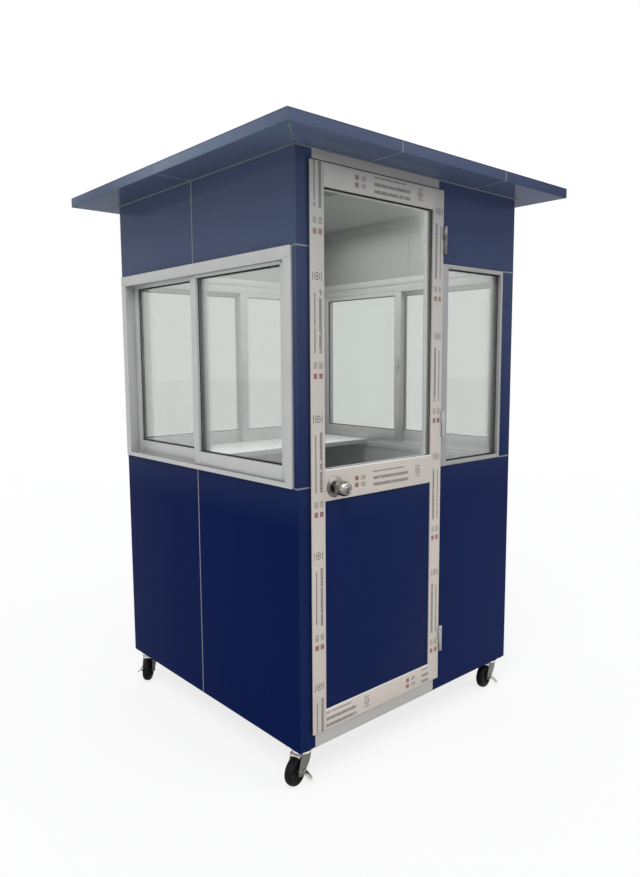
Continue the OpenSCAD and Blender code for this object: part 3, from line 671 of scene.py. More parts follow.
def vinyl_finish(settings):
    """Speckled sheet vinyl."""
    finish = Finish("speckled_vinyl", "floor_board")
    chips = finish.cells(160.0).held(0.25, 0.5)
    specks = finish.noise(340.0, 2.0).held(0.45, 0.6)
    ground = finish.shade(specks, settings.floor, 0.7, 1.25)
    base = finish.tint(chips, scaled(settings.floor, 1.9), ground)
    normal = finish.bump(finish.noise(500.0, 2.0), 0.0001)
    return finish.surface(Base_Color=base, Roughness=0.45 + 0.1 * specks, Normal=normal)


def glass_finish(settings):
    """Clear sheet glass with a whisper of dust."""
    finish = Finish("clear_glass", "clear_glass")
    cloud = finish.noise(7.0, 5.0, 0.65)
    clear = finish.node("BsdfTransparent", None, {"Color": colour(settings.glass)})
    mirror = finish.node("BsdfGlossy", None, {"Color": (1, 1, 1, 1), "Roughness": 0.02})
    dust = finish.node("BsdfDiffuse", None, {"Color": (0.55, 0.56, 0.55, 1)})
    shine = finish.node("Fresnel", None, {"IOR": 1.3})
    hazy = finish.node("MixShader", None, {0: 0.004 + 0.012 * cloud, 1: clear, 2: dust})
    return finish.close(finish.node("MixShader", None, {0: shine * 0.6, 1: hazy, 2: mirror}))


def film_finish(settings, name, upright):
    """Matt protective film with generic dashes, squares and rings along the member."""
    finish = Finish(name, "door_film")
    x, y, z = finish.axes()
    low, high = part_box("door_stiles")
    stile = 60 * MM
    # Each row of dashes: its place across, half its height, the length of a dash, and where
    # it starts and stops, as shares of the pitch at which the marks repeat.
    if upright:
        middle = (low.x + high.x) / 2
        across = abs(x - middle) - ((high.x - low.x) / 2 - stile / 2)
        start, right_shift = 0.0483, 0.1815
        along = z + (x > middle) * right_shift + start
        rows = ((-0.012, 0.0058, 0.0054, 0.33, 0.77), (0.012, 0.0030, 0.0046, 0.33, 0.75))
        pitch, red_at, grey_at, ring_at = 0.4605, 0.17, 0.245, 0.865
    else:
        centres = sorted({round((a.z + b.z) / 2, 4) for a, b in solids("door_rails")})
        across = z - centres[0]
        for centre in centres[1:]:
            here = abs(z - centre) < stile
            across = across * (1 - here) + (z - centre) * here
        foot_shift = 0.27
        along = x - low.x - stile + (z < centres[0] + stile) * foot_shift
        rows = (
            (-0.022, 0.0056, 0.0058, 0.42, 0.76), (0.002, 0.0056, 0.0058, 0.42, 0.76),
            (0.025, 0.0026, 0.0040, 0.42, 0.72),
        )
        pitch, red_at, grey_at, ring_at = 0.545, 0.27, 0.33, 0.86
    cell = along.repeat(pitch)
    fine = finish.noise(430.0, 2.0, 0.5)
    words = finish.noise(46.0, 1.0, 0.5) > 0.30
    dark = red = None
    for offset, half, dash, start, stop in rows:
        row = abs(across - offset) < half
        stroke = along.repeat(dash) < dash * 0.64
        span = (cell > pitch * start) * (cell < pitch * stop)
        dark = finish.most(dark, row * stroke * words * (fine > 0.33) * span)
    for offset in (-0.013, 0.011):
        bars = (abs(across - offset) < 0.0078) * (cell.repeat(0.0048) > 0.0006)
        red = finish.most(red, bars * (abs(cell - pitch * red_at) < 0.0090))
        grey = bars * (fine > 0.46) * (abs(cell - pitch * grey_at) < 0.0110)
        dark = finish.most(dark, grey * 0.7)
    ring_x = across - 0.002
    ring_y = cell - pitch * ring_at
    reach = ring_x.maths("SQRT", ring_x * ring_x + ring_y * ring_y)
    ring = (abs(reach - 0.0108) < 0.0014) + (reach < 0.0048) * (fine > 0.45)
    brackets = (abs(abs(ring_x) - 0.0185) < 0.0014) * (abs(ring_y) < 0.014) * (fine > 0.4)
    # painted shadow: the film's top 4 mm on the front take the dark print colour, for the gap under
    # the door head
    dark = finish.most(finish.most(finish.most(dark, ring), brackets), z > high.z - 4 * MM)
    front = y < low.y + 4 * MM
    cloud = finish.noise(14.0, 4.0, 0.6)
    creases = finish.noise(40.0, 3.0, 0.6, (1.0, 1.0, 0.25) if upright else (0.25, 1.0, 1.0))
    # painted shade: the film darkens towards the top, where the roof shades it, with a random
    # unevenness
    painted_light = 0.96 - 0.40 * z.held(0.75, 1.3) - 0.50 * z.held(1.45, 1.85) + 0.25 * (cloud - 0.5)
    plain = finish.tint(painted_light, settings.film_shade, scaled(settings.film, 1.12))
    inked = finish.tint(dark * front * 0.92, plain, settings.print_dark)
    # painted shade: the red marks turn dull brown towards the top, under the roof
    red_in_painted_shade = finish.tint(z.held(1.45, 1.75), settings.print_red, settings.print_brown)
    base = finish.tint(red * front * 0.92, inked, red_in_painted_shade)
    normal = finish.bump(creases, 0.0003)
    return finish.surface(Base_Color=base, Roughness=0.42 + 0.12 * cloud, Normal=normal)


# ---------- operators ----------


class BOOTH_OT_cladding(bpy.types.Operator):
    """Folded navy panels of the walls, with their silicone joints"""

    bl_idname = "booth.cladding"
    bl_label = "Wall panels and joints"

    def execute(self, context):
        settings = context.scene.booth_panels
        lacquer = panel_finish(settings, "navy_lacquer", wall_sky_light)
        for part in ("lower", "middle", "upper"):
            node = "cladding_" + part
            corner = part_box(node)[1]
            mesh = clean_copy(node)
            folds = [
                edge for edge in mesh.edges
                if all(
                    abs(abs(vert.co[axis]) - corner[axis]) < 1e-5
                    for vert in edge.verts for axis in (0, 1)
                )
            ]
            ease(mesh, folds, settings.fold, 5)
            ease(mesh, sharp_edges(mesh, 60), 0.4 * MM, 1)
            show(mesh, node + "_panels", lacquer, [node])
        grey = sealant_finish(settings)
        dress("silicone_joints", "silicone_beads", grey, 0.7 * MM)
        return {"FINISHED"}


class BOOTH_OT_roof(bpy.types.Operator):
    """The roof's top sheet, folded edges and soffit"""

    bl_idname = "booth.roof"
    bl_label = "Roof"

    def execute(self, context):
        settings = context.scene.booth_panels
        lacquer = panel_finish(settings, "navy_lacquer_fascia", fascia_sky_light)
        for node in ("roof_sheet", "fascia"):
            dress(node, node + "_panels", lacquer, 1.6 * MM, 3)
        under = panel_finish(settings, "navy_lacquer_soffit", soffit_sky_light)
        dress("soffit", "soffit_panels", under, 0.5 * MM, 1)
        paint("roof_core", board_finish("roof_board", "steel_frame", (0.3, 0.3, 0.3)))
        return {"FINISHED"}


class BOOTH_OT_structure(bpy.types.Operator):
    """The steel base, the posts and the wall cores"""

    bl_idname = "booth.structure"
    bl_label = "Base, posts and cores"

    def execute(self, context):
        grey = context.scene.booth_castors.base
        primer = board_finish("grey_primer", "steel_frame", grey, 0.55, 0.0001)
        for node in ("base_side_tubes", "base_cross_tubes"):
            dress(node, node + "_folded", primer, 2 * MM, 3)
        paint("corner_posts", primer)
        foam = board_finish("wall_core", "wall_board", context.scene.booth_room.lining, 0.8, 0.0004)
        for side in (*SLIDING, "front"):
            paint(side + "_wall_core", foam)
        return {"FINISHED"}


class BOOTH_OT_room(bpy.types.Operator):
    """Lining, ceiling, cornice, casings, floor and vent inside the cabin"""

    bl_idname = "booth.room"
    bl_label = "Room"

    def execute(self, context):
        settings = context.scene.booth_room
        lining = board_finish("lining_lacquer", "wall_board", settings.lining, 0.34)
        white = board_finish("ceiling_white", "white_board", settings.ceiling, 0.42)
        strip = board_finish("cornice_grey", "white_board", settings.cornice)
        silver = aluminium_finish("casing_aluminium", context.scene.booth_windows.aluminium)
        dress("wall_lining", "wall_lining_sheets", lining, 0.6 * MM)
        dress("cornice", "cornice_strips", strip, 3 * MM, 3)
        dress("ceiling", "ceiling_sheet", white, 0.5 * MM, 1)
        dress("floor_deck", "floor_sheet", vinyl_finish(settings), MM)
        dress("window_casings", "window_casing_strips", silver, 0.8 * MM)
        self.vent(settings)
        return {"FINISHED"}

    def vent(self, settings):
        """A square vent under the ceiling: a frame, slats and a dark back."""
        spot = (*settings.vent_place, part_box("ceiling")[0].z)
        half = settings.vent / MM / 2
        opening = half - 12
        mesh = bmesh.new()
        for sign in (-1, 1):
            near, far = sorted((sign * half, sign * opening))
            add_near(mesh, spot, (near, -half, -9), (far, half, 0), 1.5)
            add_near(mesh, spot, (-opening, near, -9), (opening, far, 0), 1.5)
        slats = 9
        for step in range(1, slats + 1):
            y = 2 * opening * step / (slats + 1) - opening
            add_near(mesh, spot, (-opening, y - 3, -8), (opening, y + 3, -3), 1)
        bright = board_finish("vent_white", "white_board", (0.30, 0.305, 0.30))
        show(mesh, "ceiling_vent_slats", bright)
        mesh = bmesh.new()
        inset = half - 6
        add_near(mesh, spot, (-inset, -inset, -2), (inset, inset, 0), 0.4)
        dark = board_finish("vent_shade", "white_board", (0.035, 0.035, 0.036), 0.5)
        show(mesh, "ceiling_vent_back", dark)


class BOOTH_OT_windows(bpy.types.Operator):
    """Window frames and sashes with their tracks and latches"""

    bl_idname = "booth.windows"
    bl_label = "Windows"

    def execute(self, context):
        settings = context.scene.booth_windows
        silver = aluminium_finish("anodised_aluminium", settings.aluminium)
        # painted shade: a darker copy of the aluminium for the front window's frame, which lies in
        # the roof's shade
        painted_shade = aluminium_finish("aluminium_in_painted_shade", scaled(settings.aluminium, 0.62))
        frames = [side + "_window_frame" for side in (*SLIDING, "front")]
        for node in (*frames, "outer_sashes", "inner_sashes"):
            finish = painted_shade if node.startswith("front") else silver
            dress(node, node + "_bars", finish, settings.edge)
        for side, turn in SLIDING.items():
            self.mount(self.tracks(), side + "_window_lips", turn, silver)
        for side, turn in SLIDING.items():
            self.mount(self.latch(side), side + "_window_latch", turn, silver)
        return {"FINISHED"}

    def mount(self, mesh, name, turn, silver):
        """Turns a shape that was made for the left window to its own wall."""
        set_down(mesh, placed(ORIGIN, turn))
        show(mesh, name, silver)

    def tracks(self):
        """Upright lips on the left window's sill and hanging lips under its head."""
        low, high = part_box("left_window_frame")
        sash_low, sash_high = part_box("outer_sashes")
        sill, head = sash_low.z - 0.3 * MM, sash_high.z + 0.3 * MM
        half = high.y - 36 * MM
        mesh = bmesh.new()
        for inset, thick, tall, drop in ((0.4, 2, 7, 5), (35.1, 3, 9, 8)):
            x = low.x + inset * MM
            far = x + thick * MM
            add_box(mesh, (x, -half, sill - MM), (far, half, sill + tall * MM), 0.6 * MM)
            add_box(mesh, (x, -half, head - drop * MM), (far, half, head + MM), 0.6 * MM)
        return mesh

    def latch(self, side):
        """A crescent latch on the inner meeting stile, as on the left window."""
        low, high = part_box("left_window_frame")
        spot = Vector((high.x, (-14 if side == "right" else 14) * MM, (low.z + high.z) / 2))
        mesh = bmesh.new()
        add_near(mesh, spot, (-1, -9, -28), (3, 9, 28), 1.5)
        lay = placed(spot + Vector((2 * MM, 0, 0)), 90, "Y")
        add_turned(mesh, [(0, 0), (13, 0), (13, 5), (11, 7), (0, 8)], 32, lay)
        add_near(mesh, spot, (5, -4, 0), (10, 4, 34), 2)
        return mesh


class BOOTH_OT_glazing(bpy.types.Operator):
    """Glass and its black rubber in the windows and the door"""

    bl_idname = "booth.glazing"
    bl_label = "Glazing"

    def execute(self, context):
        settings = context.scene.booth_windows
        glass = glass_finish(settings)
        rubber = rubber_finish("glazing_rubber", settings.rubber)
        width, depth = settings.rubber_width, settings.rubber_depth
        dress("window_glass", "window_panes", glass, 0.4 * MM, 1, "booth", 20)
        dress("door_glass", "door_pane", glass, 0.4 * MM, 1, "door", 20)
        for node, body in (("window_glass", "booth"), ("door_glass", "door")):
            mesh = bmesh.new()
            for low, high in solids(node):
                flat = min(range(3), key=lambda axis: high[axis] - low[axis])
                outside, inside = low[flat] - depth, high[flat] + 0.05 * MM
                for face, stand in ((outside, depth - 0.05 * MM), (inside, depth)):
                    low[flat] = high[flat] = face
                    add_ring(mesh, low, high, width, stand, 1.5 * MM)
            show(mesh, node + "_rubber", rubber, body=body)
        return {"FINISHED"}


class BOOTH_OT_doorway(bpy.types.Operator):
    """Jambs, head, threshold and seals round the door"""

    bl_idname = "booth.doorway"
    bl_label = "Doorway"

    def execute(self, context):
        settings = context.scene.booth_windows
        silver = aluminium_finish("doorway_aluminium", settings.doorway)
        for node, piece in (
            ("door_jambs", "door_jamb_bars"), ("door_head", "door_head_bar"),
            ("threshold", "threshold_bar"),
        ):
            dress(node, piece, silver, 0.8 * MM)
        self.ribs(silver)
        self.seals(rubber_finish("door_seal", settings.rubber))
        return {"FINISHED"}

    def ribs(self, silver):
        """Low grip ribs along the tread of the threshold."""
        low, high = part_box("threshold")
        length = (high.x - low.x) / MM
        mesh = bmesh.new()
        for y in (-6, -11, -16, -21):
            near, far = (30, y - 1.2, -1), (length - 30, y + 1.2, 0.8)
            add_near(mesh, (low.x, high.y, high.z), near, far, 0.4)
        show(mesh, "threshold_ribs", silver)

    def seals(self, rubber):
        """Rubber seals on the faces of the stops, where the leaf closes."""
        jambs = solids("door_jambs")
        leaf_low, leaf_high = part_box("door_stiles")
        lap = 12 * MM
        left = max(high.x for low, high in jambs if high.x < 0) - lap
        right = min(low.x for low, high in jambs if high.x > 0) + lap
        top = leaf_high.z - 27 * MM
        near, far = leaf_high.y + 2.2 * MM, leaf_high.y + 7.2 * MM
        mesh = bmesh.new()
        for x in (left, right - 6 * MM):
            low = (x, near, leaf_low.z + 6 * MM)
            add_box(mesh, low, (x + 6 * MM, far, top), 2 * MM, 3)
        add_box(mesh, (left, near, top - 4 * MM), (right, far, top + 2 * MM), 2 * MM, 3)
        show(mesh, "door_stop_seals", rubber)


class BOOTH_OT_leaf(bpy.types.Operator):
    """The door leaf: stiles and rails in film, panel and glazing beads"""

    bl_idname = "booth.leaf"
    bl_label = "Door leaf"

    def execute(self, context):
        settings = context.scene.booth_door
        for part, upright in (("stile", True), ("rail", False)):
            film = film_finish(settings, f"film_on_{part}s", upright)
            dress(f"door_{part}s", f"door_{part}_bars", film, settings.edge, body="door")
        lacquer = panel_finish(context.scene.booth_panels, "navy_lacquer_door", wall_sky_light)
        dress("door_panel", "door_panel_sheet", lacquer, 0.6 * MM, body="door")
        self.beads(settings, aluminium_finish("bead_aluminium", (0.72, 0.72, 0.71), 0.4, 0.1))
        return {"FINISHED"}

    def beads(self, settings, silver):
        """Sloped beads on the inner face, and a bright strip under glass and panel outside."""
        leaf_low, leaf_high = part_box("door_stiles")
        stop = leaf_high.y - 3 * MM
        gap = 0.3 * MM
        mesh = bmesh.new()
        for node, gap_behind in (("door_glass", 3.1 * MM), ("door_panel", 0.1 * MM)):
            low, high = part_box(node)
            left, right = low.x - gap, high.x + gap
            foot, top = low.z - gap, high.z + gap
            rear = high.y + gap_behind
            add_ring(
                mesh, (left, rear, foot), (right, rear, top), settings.bead, stop - rear,
                2 * MM, 0.4 * MM,
            )
            face = (left, leaf_low.y + 0.6 * MM, foot)
            add_box(mesh, face, (right, low.y - 0.1 * MM, low.z + settings.strip), 0.5 * MM)
        show(mesh, "door_glazing_beads", silver, body="door")


class BOOTH_OT_lock(bpy.types.Operator):
    """Knobs, roses, latch plate and latch"""

    bl_idname = "booth.lock"
    bl_label = "Lock"

    def execute(self, context):
        settings = context.scene.booth_hardware
        x, _, z = JOINTS["knob_turn"]["pos_m"]
        # painted shade: the knob is darkened towards its bottom, and the roses are a darker copy of
        # the stainless, darkened towards their bottom and mottled
        bright, painted_shade = settings.stainless, scaled(settings.stainless, 0.62)
        painted_light_at = (z - 8 * MM, z + 20 * MM)
        stainless = metal_finish("polished_stainless", "stainless", bright, 0.16, 0.06, painted_light_at)
        painted_light_at = (z + 2 * MM, z + 34 * MM)
        rose_in_painted_shade = metal_finish("stainless_in_painted_shade", "stainless", painted_shade, 0.2, 0.3, painted_light_at)
        leaf_low, leaf_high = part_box("door_stiles")
        outside = placed((x, leaf_low.y, z), 90, "X")
        inside = placed((x, leaf_high.y, z), -90, "X")
        reach = (leaf_low.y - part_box("outer_knob")[0].y) / MM
        low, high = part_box("lock_roses")
        mesh = bmesh.new()
        for place in (outside, inside):
            self.rose(mesh, (high.x - low.x) / MM / 2, place)
        show(mesh, "lock_rose_domes", rose_in_painted_shade, ["lock_roses"], "door")
        for node, place in (("outer_knob", outside), ("inner_knob", inside)):
            mesh = bmesh.new()
            self.knob(mesh, reach, place, place is outside, settings.keyhole_radius / MM)
            show(mesh, node + "_turned", stainless, [node], "knob")
        mesh = bmesh.new()
        add_near(mesh, ORIGIN, (-0.7, -4.4, reach - 4), (0.7, 4.4, reach + 1.3))
        set_down(mesh, outside)
        dark = metal_finish("keyhole_shade", "stainless", (0.02, 0.02, 0.02), 0.5)
        show(mesh, "keyhole_slot", dark, body="knob")
        self.plate(stainless)
        return {"FINISHED"}

    def rose(self, mesh, rim, place):
        """A pressed dome with a rolled rim and a raised collar round the neck."""
        outline = [
            (11.4, 0.3), (rim, 0.3), (rim, 1.6), (rim - 1.2, 2.8), (rim - 3.5, 3.4),
            (rim - 7, 5.2), (rim - 12, 7.0), (rim - 17, 7.7), (14.5, 8), (14, 10), (13, 10.6),
            (11.4, 10.6), (11.4, 0.3),
        ]
        add_turned(mesh, outline, 64, place)

    def knob(self, mesh, reach, place, keyed, plug):
        """Neck, flared back, straight head and a dished face, with a key plug or a button."""
        outline = [
            (0, -18), (10.8, -18), (10.8, 13), (12, 15.5), (16.5, 18), (21.5, 22), (24.6, 27),
            (25.7, 32), (26, 36), (26, reach - 18), (25.4, reach - 12), (23.8, reach - 7),
            (21.6, reach - 3), (19.4, reach - 0.8), (17.6, reach - 0.1), (16.4, reach - 0.4),
            (15.6, reach - 1.4), (plug + 2.2, reach - 1.8),
        ]
        if keyed:
            outline += [
                (plug + 1.4, reach - 0.2), (plug + 0.6, reach + 0.6), (plug, reach + 0.9),
                (plug - 0.8, reach + 0.6), (plug - 1, reach + 0.1), (0, reach + 0.1),
            ]
        else:
            outline += [
                (plug, reach - 1), (plug - 1, reach), (plug - 1, reach + 3),
                (plug - 2, reach + 4), (0, reach + 4),
            ]
        add_turned(mesh, outline, 64, place)

    def plate(self, stainless):
        """The latch plate on the leaf's edge, with its latch and two screws."""
        low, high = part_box("lock_faceplate")
        mesh = clean_copy("lock_faceplate")
        ease(mesh, sharp_edges(mesh), 0.4 * MM)
        middle = (low + high) / 2
        thick = (high.x - low.x) / MM
        spot = (low.x, middle.y, middle.z)
        add_near(mesh, spot, (-5, -7, -12), (thick, 7, 12), 2, 3)
        for z in (low.z + 12 * MM, high.z - 12 * MM):
            place = placed((low.x, middle.y, z), -90, "Y")
            add_turned(mesh, [(0, -1), (4, -1), (4, 0.3), (0, 1)], 24, place)
        show(mesh, "latch_plate", stainless, ["lock_faceplate"], "door")


class BOOTH_OT_hinges(bpy.types.Operator):
    """Barrel hinges with rounded ends, one half on the leaf and one on the wall"""

    bl_idname = "booth.hinges"
    bl_label = "Hinges"

    def execute(self, context):
        grey = context.scene.booth_hardware.hinge
        painted_light_at = (1.85, 1.35)  # painted shade: the top hinge is darkened where it hangs in the roof's shade
        steel = metal_finish("satin_hinge_steel", "stainless", grey, 0.36, 0.08, painted_light_at)
        for node, body in (("door_hinges", "door"), ("frame_hinges", "booth")):
            mesh = bmesh.new()
            for low, high in solids(node):
                self.barrel(mesh, low, high, body == "door")
            show(mesh, node + "_barrels", steel, [node], body)
        return {"FINISHED"}

    def barrel(self, mesh, low, high, upper):
        """A half of a hinge: its knuckle, its web, and the pin's ball end."""
        x, y, _ = JOINTS["door_hinge"]["pos_m"]
        foot = (x, y, low.z)
        r = (y - low.y) / MM
        tall = (high.z - low.z) / MM if upper else 52.8
        if upper:
            ends = [
                (0, 0), (r - 1, 0), (r, 1), (r, tall - 3.5), (r - 0.9, tall - 1.6),
                (r - 2.6, tall - 0.4), (r - 5, tall), (0, tall),
            ]
        else:
            ends = [
                (0, 0), (r - 5, 0), (r - 2.6, 0.4), (r - 0.9, 1.6), (r, 3.5), (r, tall - 1),
                (r - 1, tall), (0, tall),
            ]
        add_turned(mesh, ends, 40, Matrix.Translation(foot))
        if upper:
            add_near(mesh, foot, ((low.x - x) / MM, 1, 1), (0, 5, tall - 4), 1)
            face = (x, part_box("door_stiles")[0].y, low.z)
            add_near(mesh, face, (-r - 7, -3, 1.5), (-2, -0.2, tall - 6), 0.8, 3)
        else:
            add_near(mesh, foot, (-2.2, 0, 4), (2.2, (high.y - y) / MM, tall - 1), 0.5)


class BOOTH_OT_desk(bpy.types.Operator):
    """The desk board and its edging"""

    bl_idname = "booth.desk"
    bl_label = "Desk"

    def execute(self, context):
        settings = context.scene.booth_room
        laminate = board_finish("desk_laminate", "white_board", settings.desk, 0.3, 0.00003)
        edging = board_finish("desk_edging_grey", "desk_edge", settings.edging)
        dress("desk_top", "desk_board", laminate, 0.8 * MM)
        dress("desk_edging", "desk_edge_strip", edging, 1.2 * MM, 3)
        return {"FINISHED"}


class BOOTH_OT_castors(bpy.types.Operator):
    """Four swivel castors with plates, forks, tyres and brake pedals"""

    bl_idname = "booth.castors"
    bl_label = "Castors"

    def execute(self, context):
        settings = context.scene.booth_castors
        self.zinc = metal_finish("zinc_plate", "castor_zinc", settings.zinc, 0.34, 0.16)
        bright = scaled(settings.chrome, 1.5)
        self.bright = metal_finish("bright_zinc", "pedal_chrome", bright, 0.2, 0.06)
        self.chrome = metal_finish("pedal_chrome", "pedal_chrome", settings.chrome, 0.14, 0.05)
        self.tyre = rubber_finish("tyre_rubber", settings.rubber, settings.dust, 0.42)
        self.core = rubber_finish("wheel_core", scaled(settings.rubber, 1.6), None, 0.35)
        self.seal = rubber_finish("dust_ring", settings.rubber, None, 0.4)
        for corner in CORNERS:
            axle = Vector(JOINTS[corner + "_roll"]["pos_m"])
            line = Vector(JOINTS[corner + "_roll"]["axis"])
            pedal_low, pedal_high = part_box(corner + "_pedal")
            mirrored = ((pedal_low + pedal_high) / 2 - axle).dot(line) > 0
            place = self.home(corner, math.degrees(math.atan2(-line.x, line.y)))
            if mirrored:
                place = place @ Matrix.Scale(-1, 4, (0, 1, 0))
            self.fork(corner, place)
            self.wheel(corner, place)
            self.pedal(corner, place)
        self.plates()
        return {"FINISHED"}

    def home(self, corner, heading=0):
        """Where a castor's kingpin meets the floor, turned to its heading."""
        kingpin = JOINTS[corner + "_swivel"]["pos_m"]
        return placed((kingpin[0], kingpin[1], 0), heading)

    def fork(self, corner, place):
        """Crown, two curved legs, the axle bolt, and the lower race."""
        mesh = bmesh.new()
        leg = [
            (24, 110), (-34, 110), (-40, 92), (-55.5, 54), (-54, 40), (-42, 35.6), (-31, 41),
            (-10, 50), (10, 68), (20.5, 94),
        ]
        rounds = {9: 8, 8: 12, 7: 12, 6: 4, 5: 5, 4: 6, 3: 8}
        for y in (25, -21):
            add_prism(mesh, leg, 4, rounds, 0.8, placed((0, y * MM, 0), 90, "X"))
        add_hex(mesh, 9, 5.5, at_axle(25, -90))
        add_hex(mesh, 8.5, 4.5, at_axle(-28.6))
        add_turned(mesh, [(0, 0), (5, 0), (5, 62), (4, 63), (0, 63)], 24, at_axle(30))
        set_down(mesh, place)
        body = corner + "_castor"
        show(mesh, corner + "_fork_pressing", self.zinc, [corner + "_fork"], body)
        mesh = bmesh.new()
        add_near(mesh, ORIGIN, (-46, -21, 106), (26, 21, 110), 1.2, 3)
        add_near(mesh, ORIGIN, (-47, -21, 101.5), (-43, 21, 110), 1.2, 3)
        race = [
            (8, 110), (36.5, 110), (38, 111.5), (38, 113.5), (36.5, 116.6), (33, 117.6),
            (8, 117.8), (8, 110),
        ]
        add_turned(mesh, race, 56)
        set_down(mesh, place)
        show(mesh, corner + "_lower_race", self.bright, body=body)

    def wheel(self, corner, place):
        """A rounded tyre on a moulded core with a bearing cap on each side."""
        arc = []
        for degrees in range(-90, 91, 15):
            angle = math.radians(degrees)
            arc.append((38.5 + 11.5 * math.cos(angle) ** 0.75, 16 * math.sin(angle)))
        body = corner + "_tyre"
        mesh = bmesh.new()
        tyre = [(34, -14.5), *arc, (34, 14.5), (34, -14.5)]
        add_turned(mesh, tyre, 72, at_axle(0))
        set_down(mesh, place)
        show(mesh, corner + "_tyre_tread", self.tyre, [corner + "_wheel"], body, 50)
        mesh = bmesh.new()
        core = [
            (5.2, -19), (12, -19), (13, -18), (14, -12), (17, -10.5), (29, -10.5), (31, -13),
            (34.2, -14), (34.2, 14), (31, 13), (29, 10.5), (17, 10.5), (14, 12), (13, 18),
            (12, 19), (5.2, 19), (5.2, -19),
        ]
        add_turned(mesh, core, 56, at_axle(0))
        for spoke in range(6):
            made = add_near(mesh, ORIGIN, (13, -1.6, -12.6), (31, 1.6, 12.6), 0.8)
            turn = at_axle(0) @ placed(ORIGIN, 60 * spoke)
            bmesh.ops.transform(mesh, matrix=turn, verts=made)
        set_down(mesh, place)
        show(mesh, corner + "_wheel_core", self.core, body=body)

    def pedal(self, corner, place):
        """A pressed lever with a rounded foot that slopes down from the axle."""
        mesh = bmesh.new()
        stand = at_axle(-25.4)
        eye = [(5.2, 0), (11, 0), (11, 2.4), (10.4, 3), (5.2, 3), (5.2, 0)]
        add_turned(mesh, eye, 40, stand)
        tab = [(9.6, -9.6), (29.8, -9.6), (29.8, 2.4), (9.6, 2.8)]
        add_prism(mesh, tab, 3, {1: 4, 2: 3}, 0.6, stand)
        reach = 36.8
        foot = [
            (10, 0), (30, 0), (30.5, reach - 8), (28, reach), (12, reach), (9.5, reach - 8),
        ]
        slope = placed((TRAIL, -25.4 * MM, AXLE - 2 * MM), 180 + 36, "X")
        lay = slope @ Matrix.Translation((0, 0, -1.5 * MM))
        add_prism(mesh, foot, 3, {3: 5, 4: 5}, 0.9, lay)
        for back in (7, 11, 15, 19):
            low, high = (13, reach - back - 1, -0.6), (27, reach - back + 1, 0.4)
            made = add_near(mesh, ORIGIN, low, high, 0.3)
            bmesh.ops.transform(mesh, matrix=lay, verts=made)
        set_down(mesh, place)
        pressing = corner + "_pedal_pressing"
        show(mesh, pressing, self.chrome, [corner + "_pedal"], corner + "_lever")

    def plates(self):
        """Top plates with bolts, the upper race and its dark seal, and the kingpin nut."""
        steel, bright, dark = bmesh.new(), bmesh.new(), bmesh.new()
        square = [(-45, -45), (45, -45), (45, 45), (-45, 45)]
        dome = [(0, 126), (40, 126), (39.5, 122.5), (37, 120.5), (0, 120)]
        pin = [(0, 100.2), (5, 100.2), (6, 101), (6, 120), (0, 120)]
        seal = [(6.5, 118.1), (35, 118.1), (35.5, 119), (35, 120.6), (6.5, 120.6), (6.5, 118.1)]
        under = 126 * MM
        for corner in CORNERS:
            home = self.home(corner)
            lift = home @ Matrix.Translation((0, 0, under))
            add_prism(steel, square, 4, dict.fromkeys(range(4), 9), 0.8, lift)
            for x in (-35 * MM, 35 * MM):
                for y in (-35 * MM, 35 * MM):
                    add_hex(steel, 7.5, 5, home @ placed((x, y, under), 180, "X"))
            add_turned(bright, dome, 56, home)
            add_turned(steel, pin, 24, home)
            add_hex(steel, 10, 5, home @ placed((0, 0, 105.7 * MM), 180, "X"))
            add_turned(dark, seal, 56, home)
        show(steel, "castor_top_plates", self.zinc, ["castor_plates"])
        show(bright, "castor_upper_races", self.bright)
        show(dark, "castor_race_seals", self.seal)


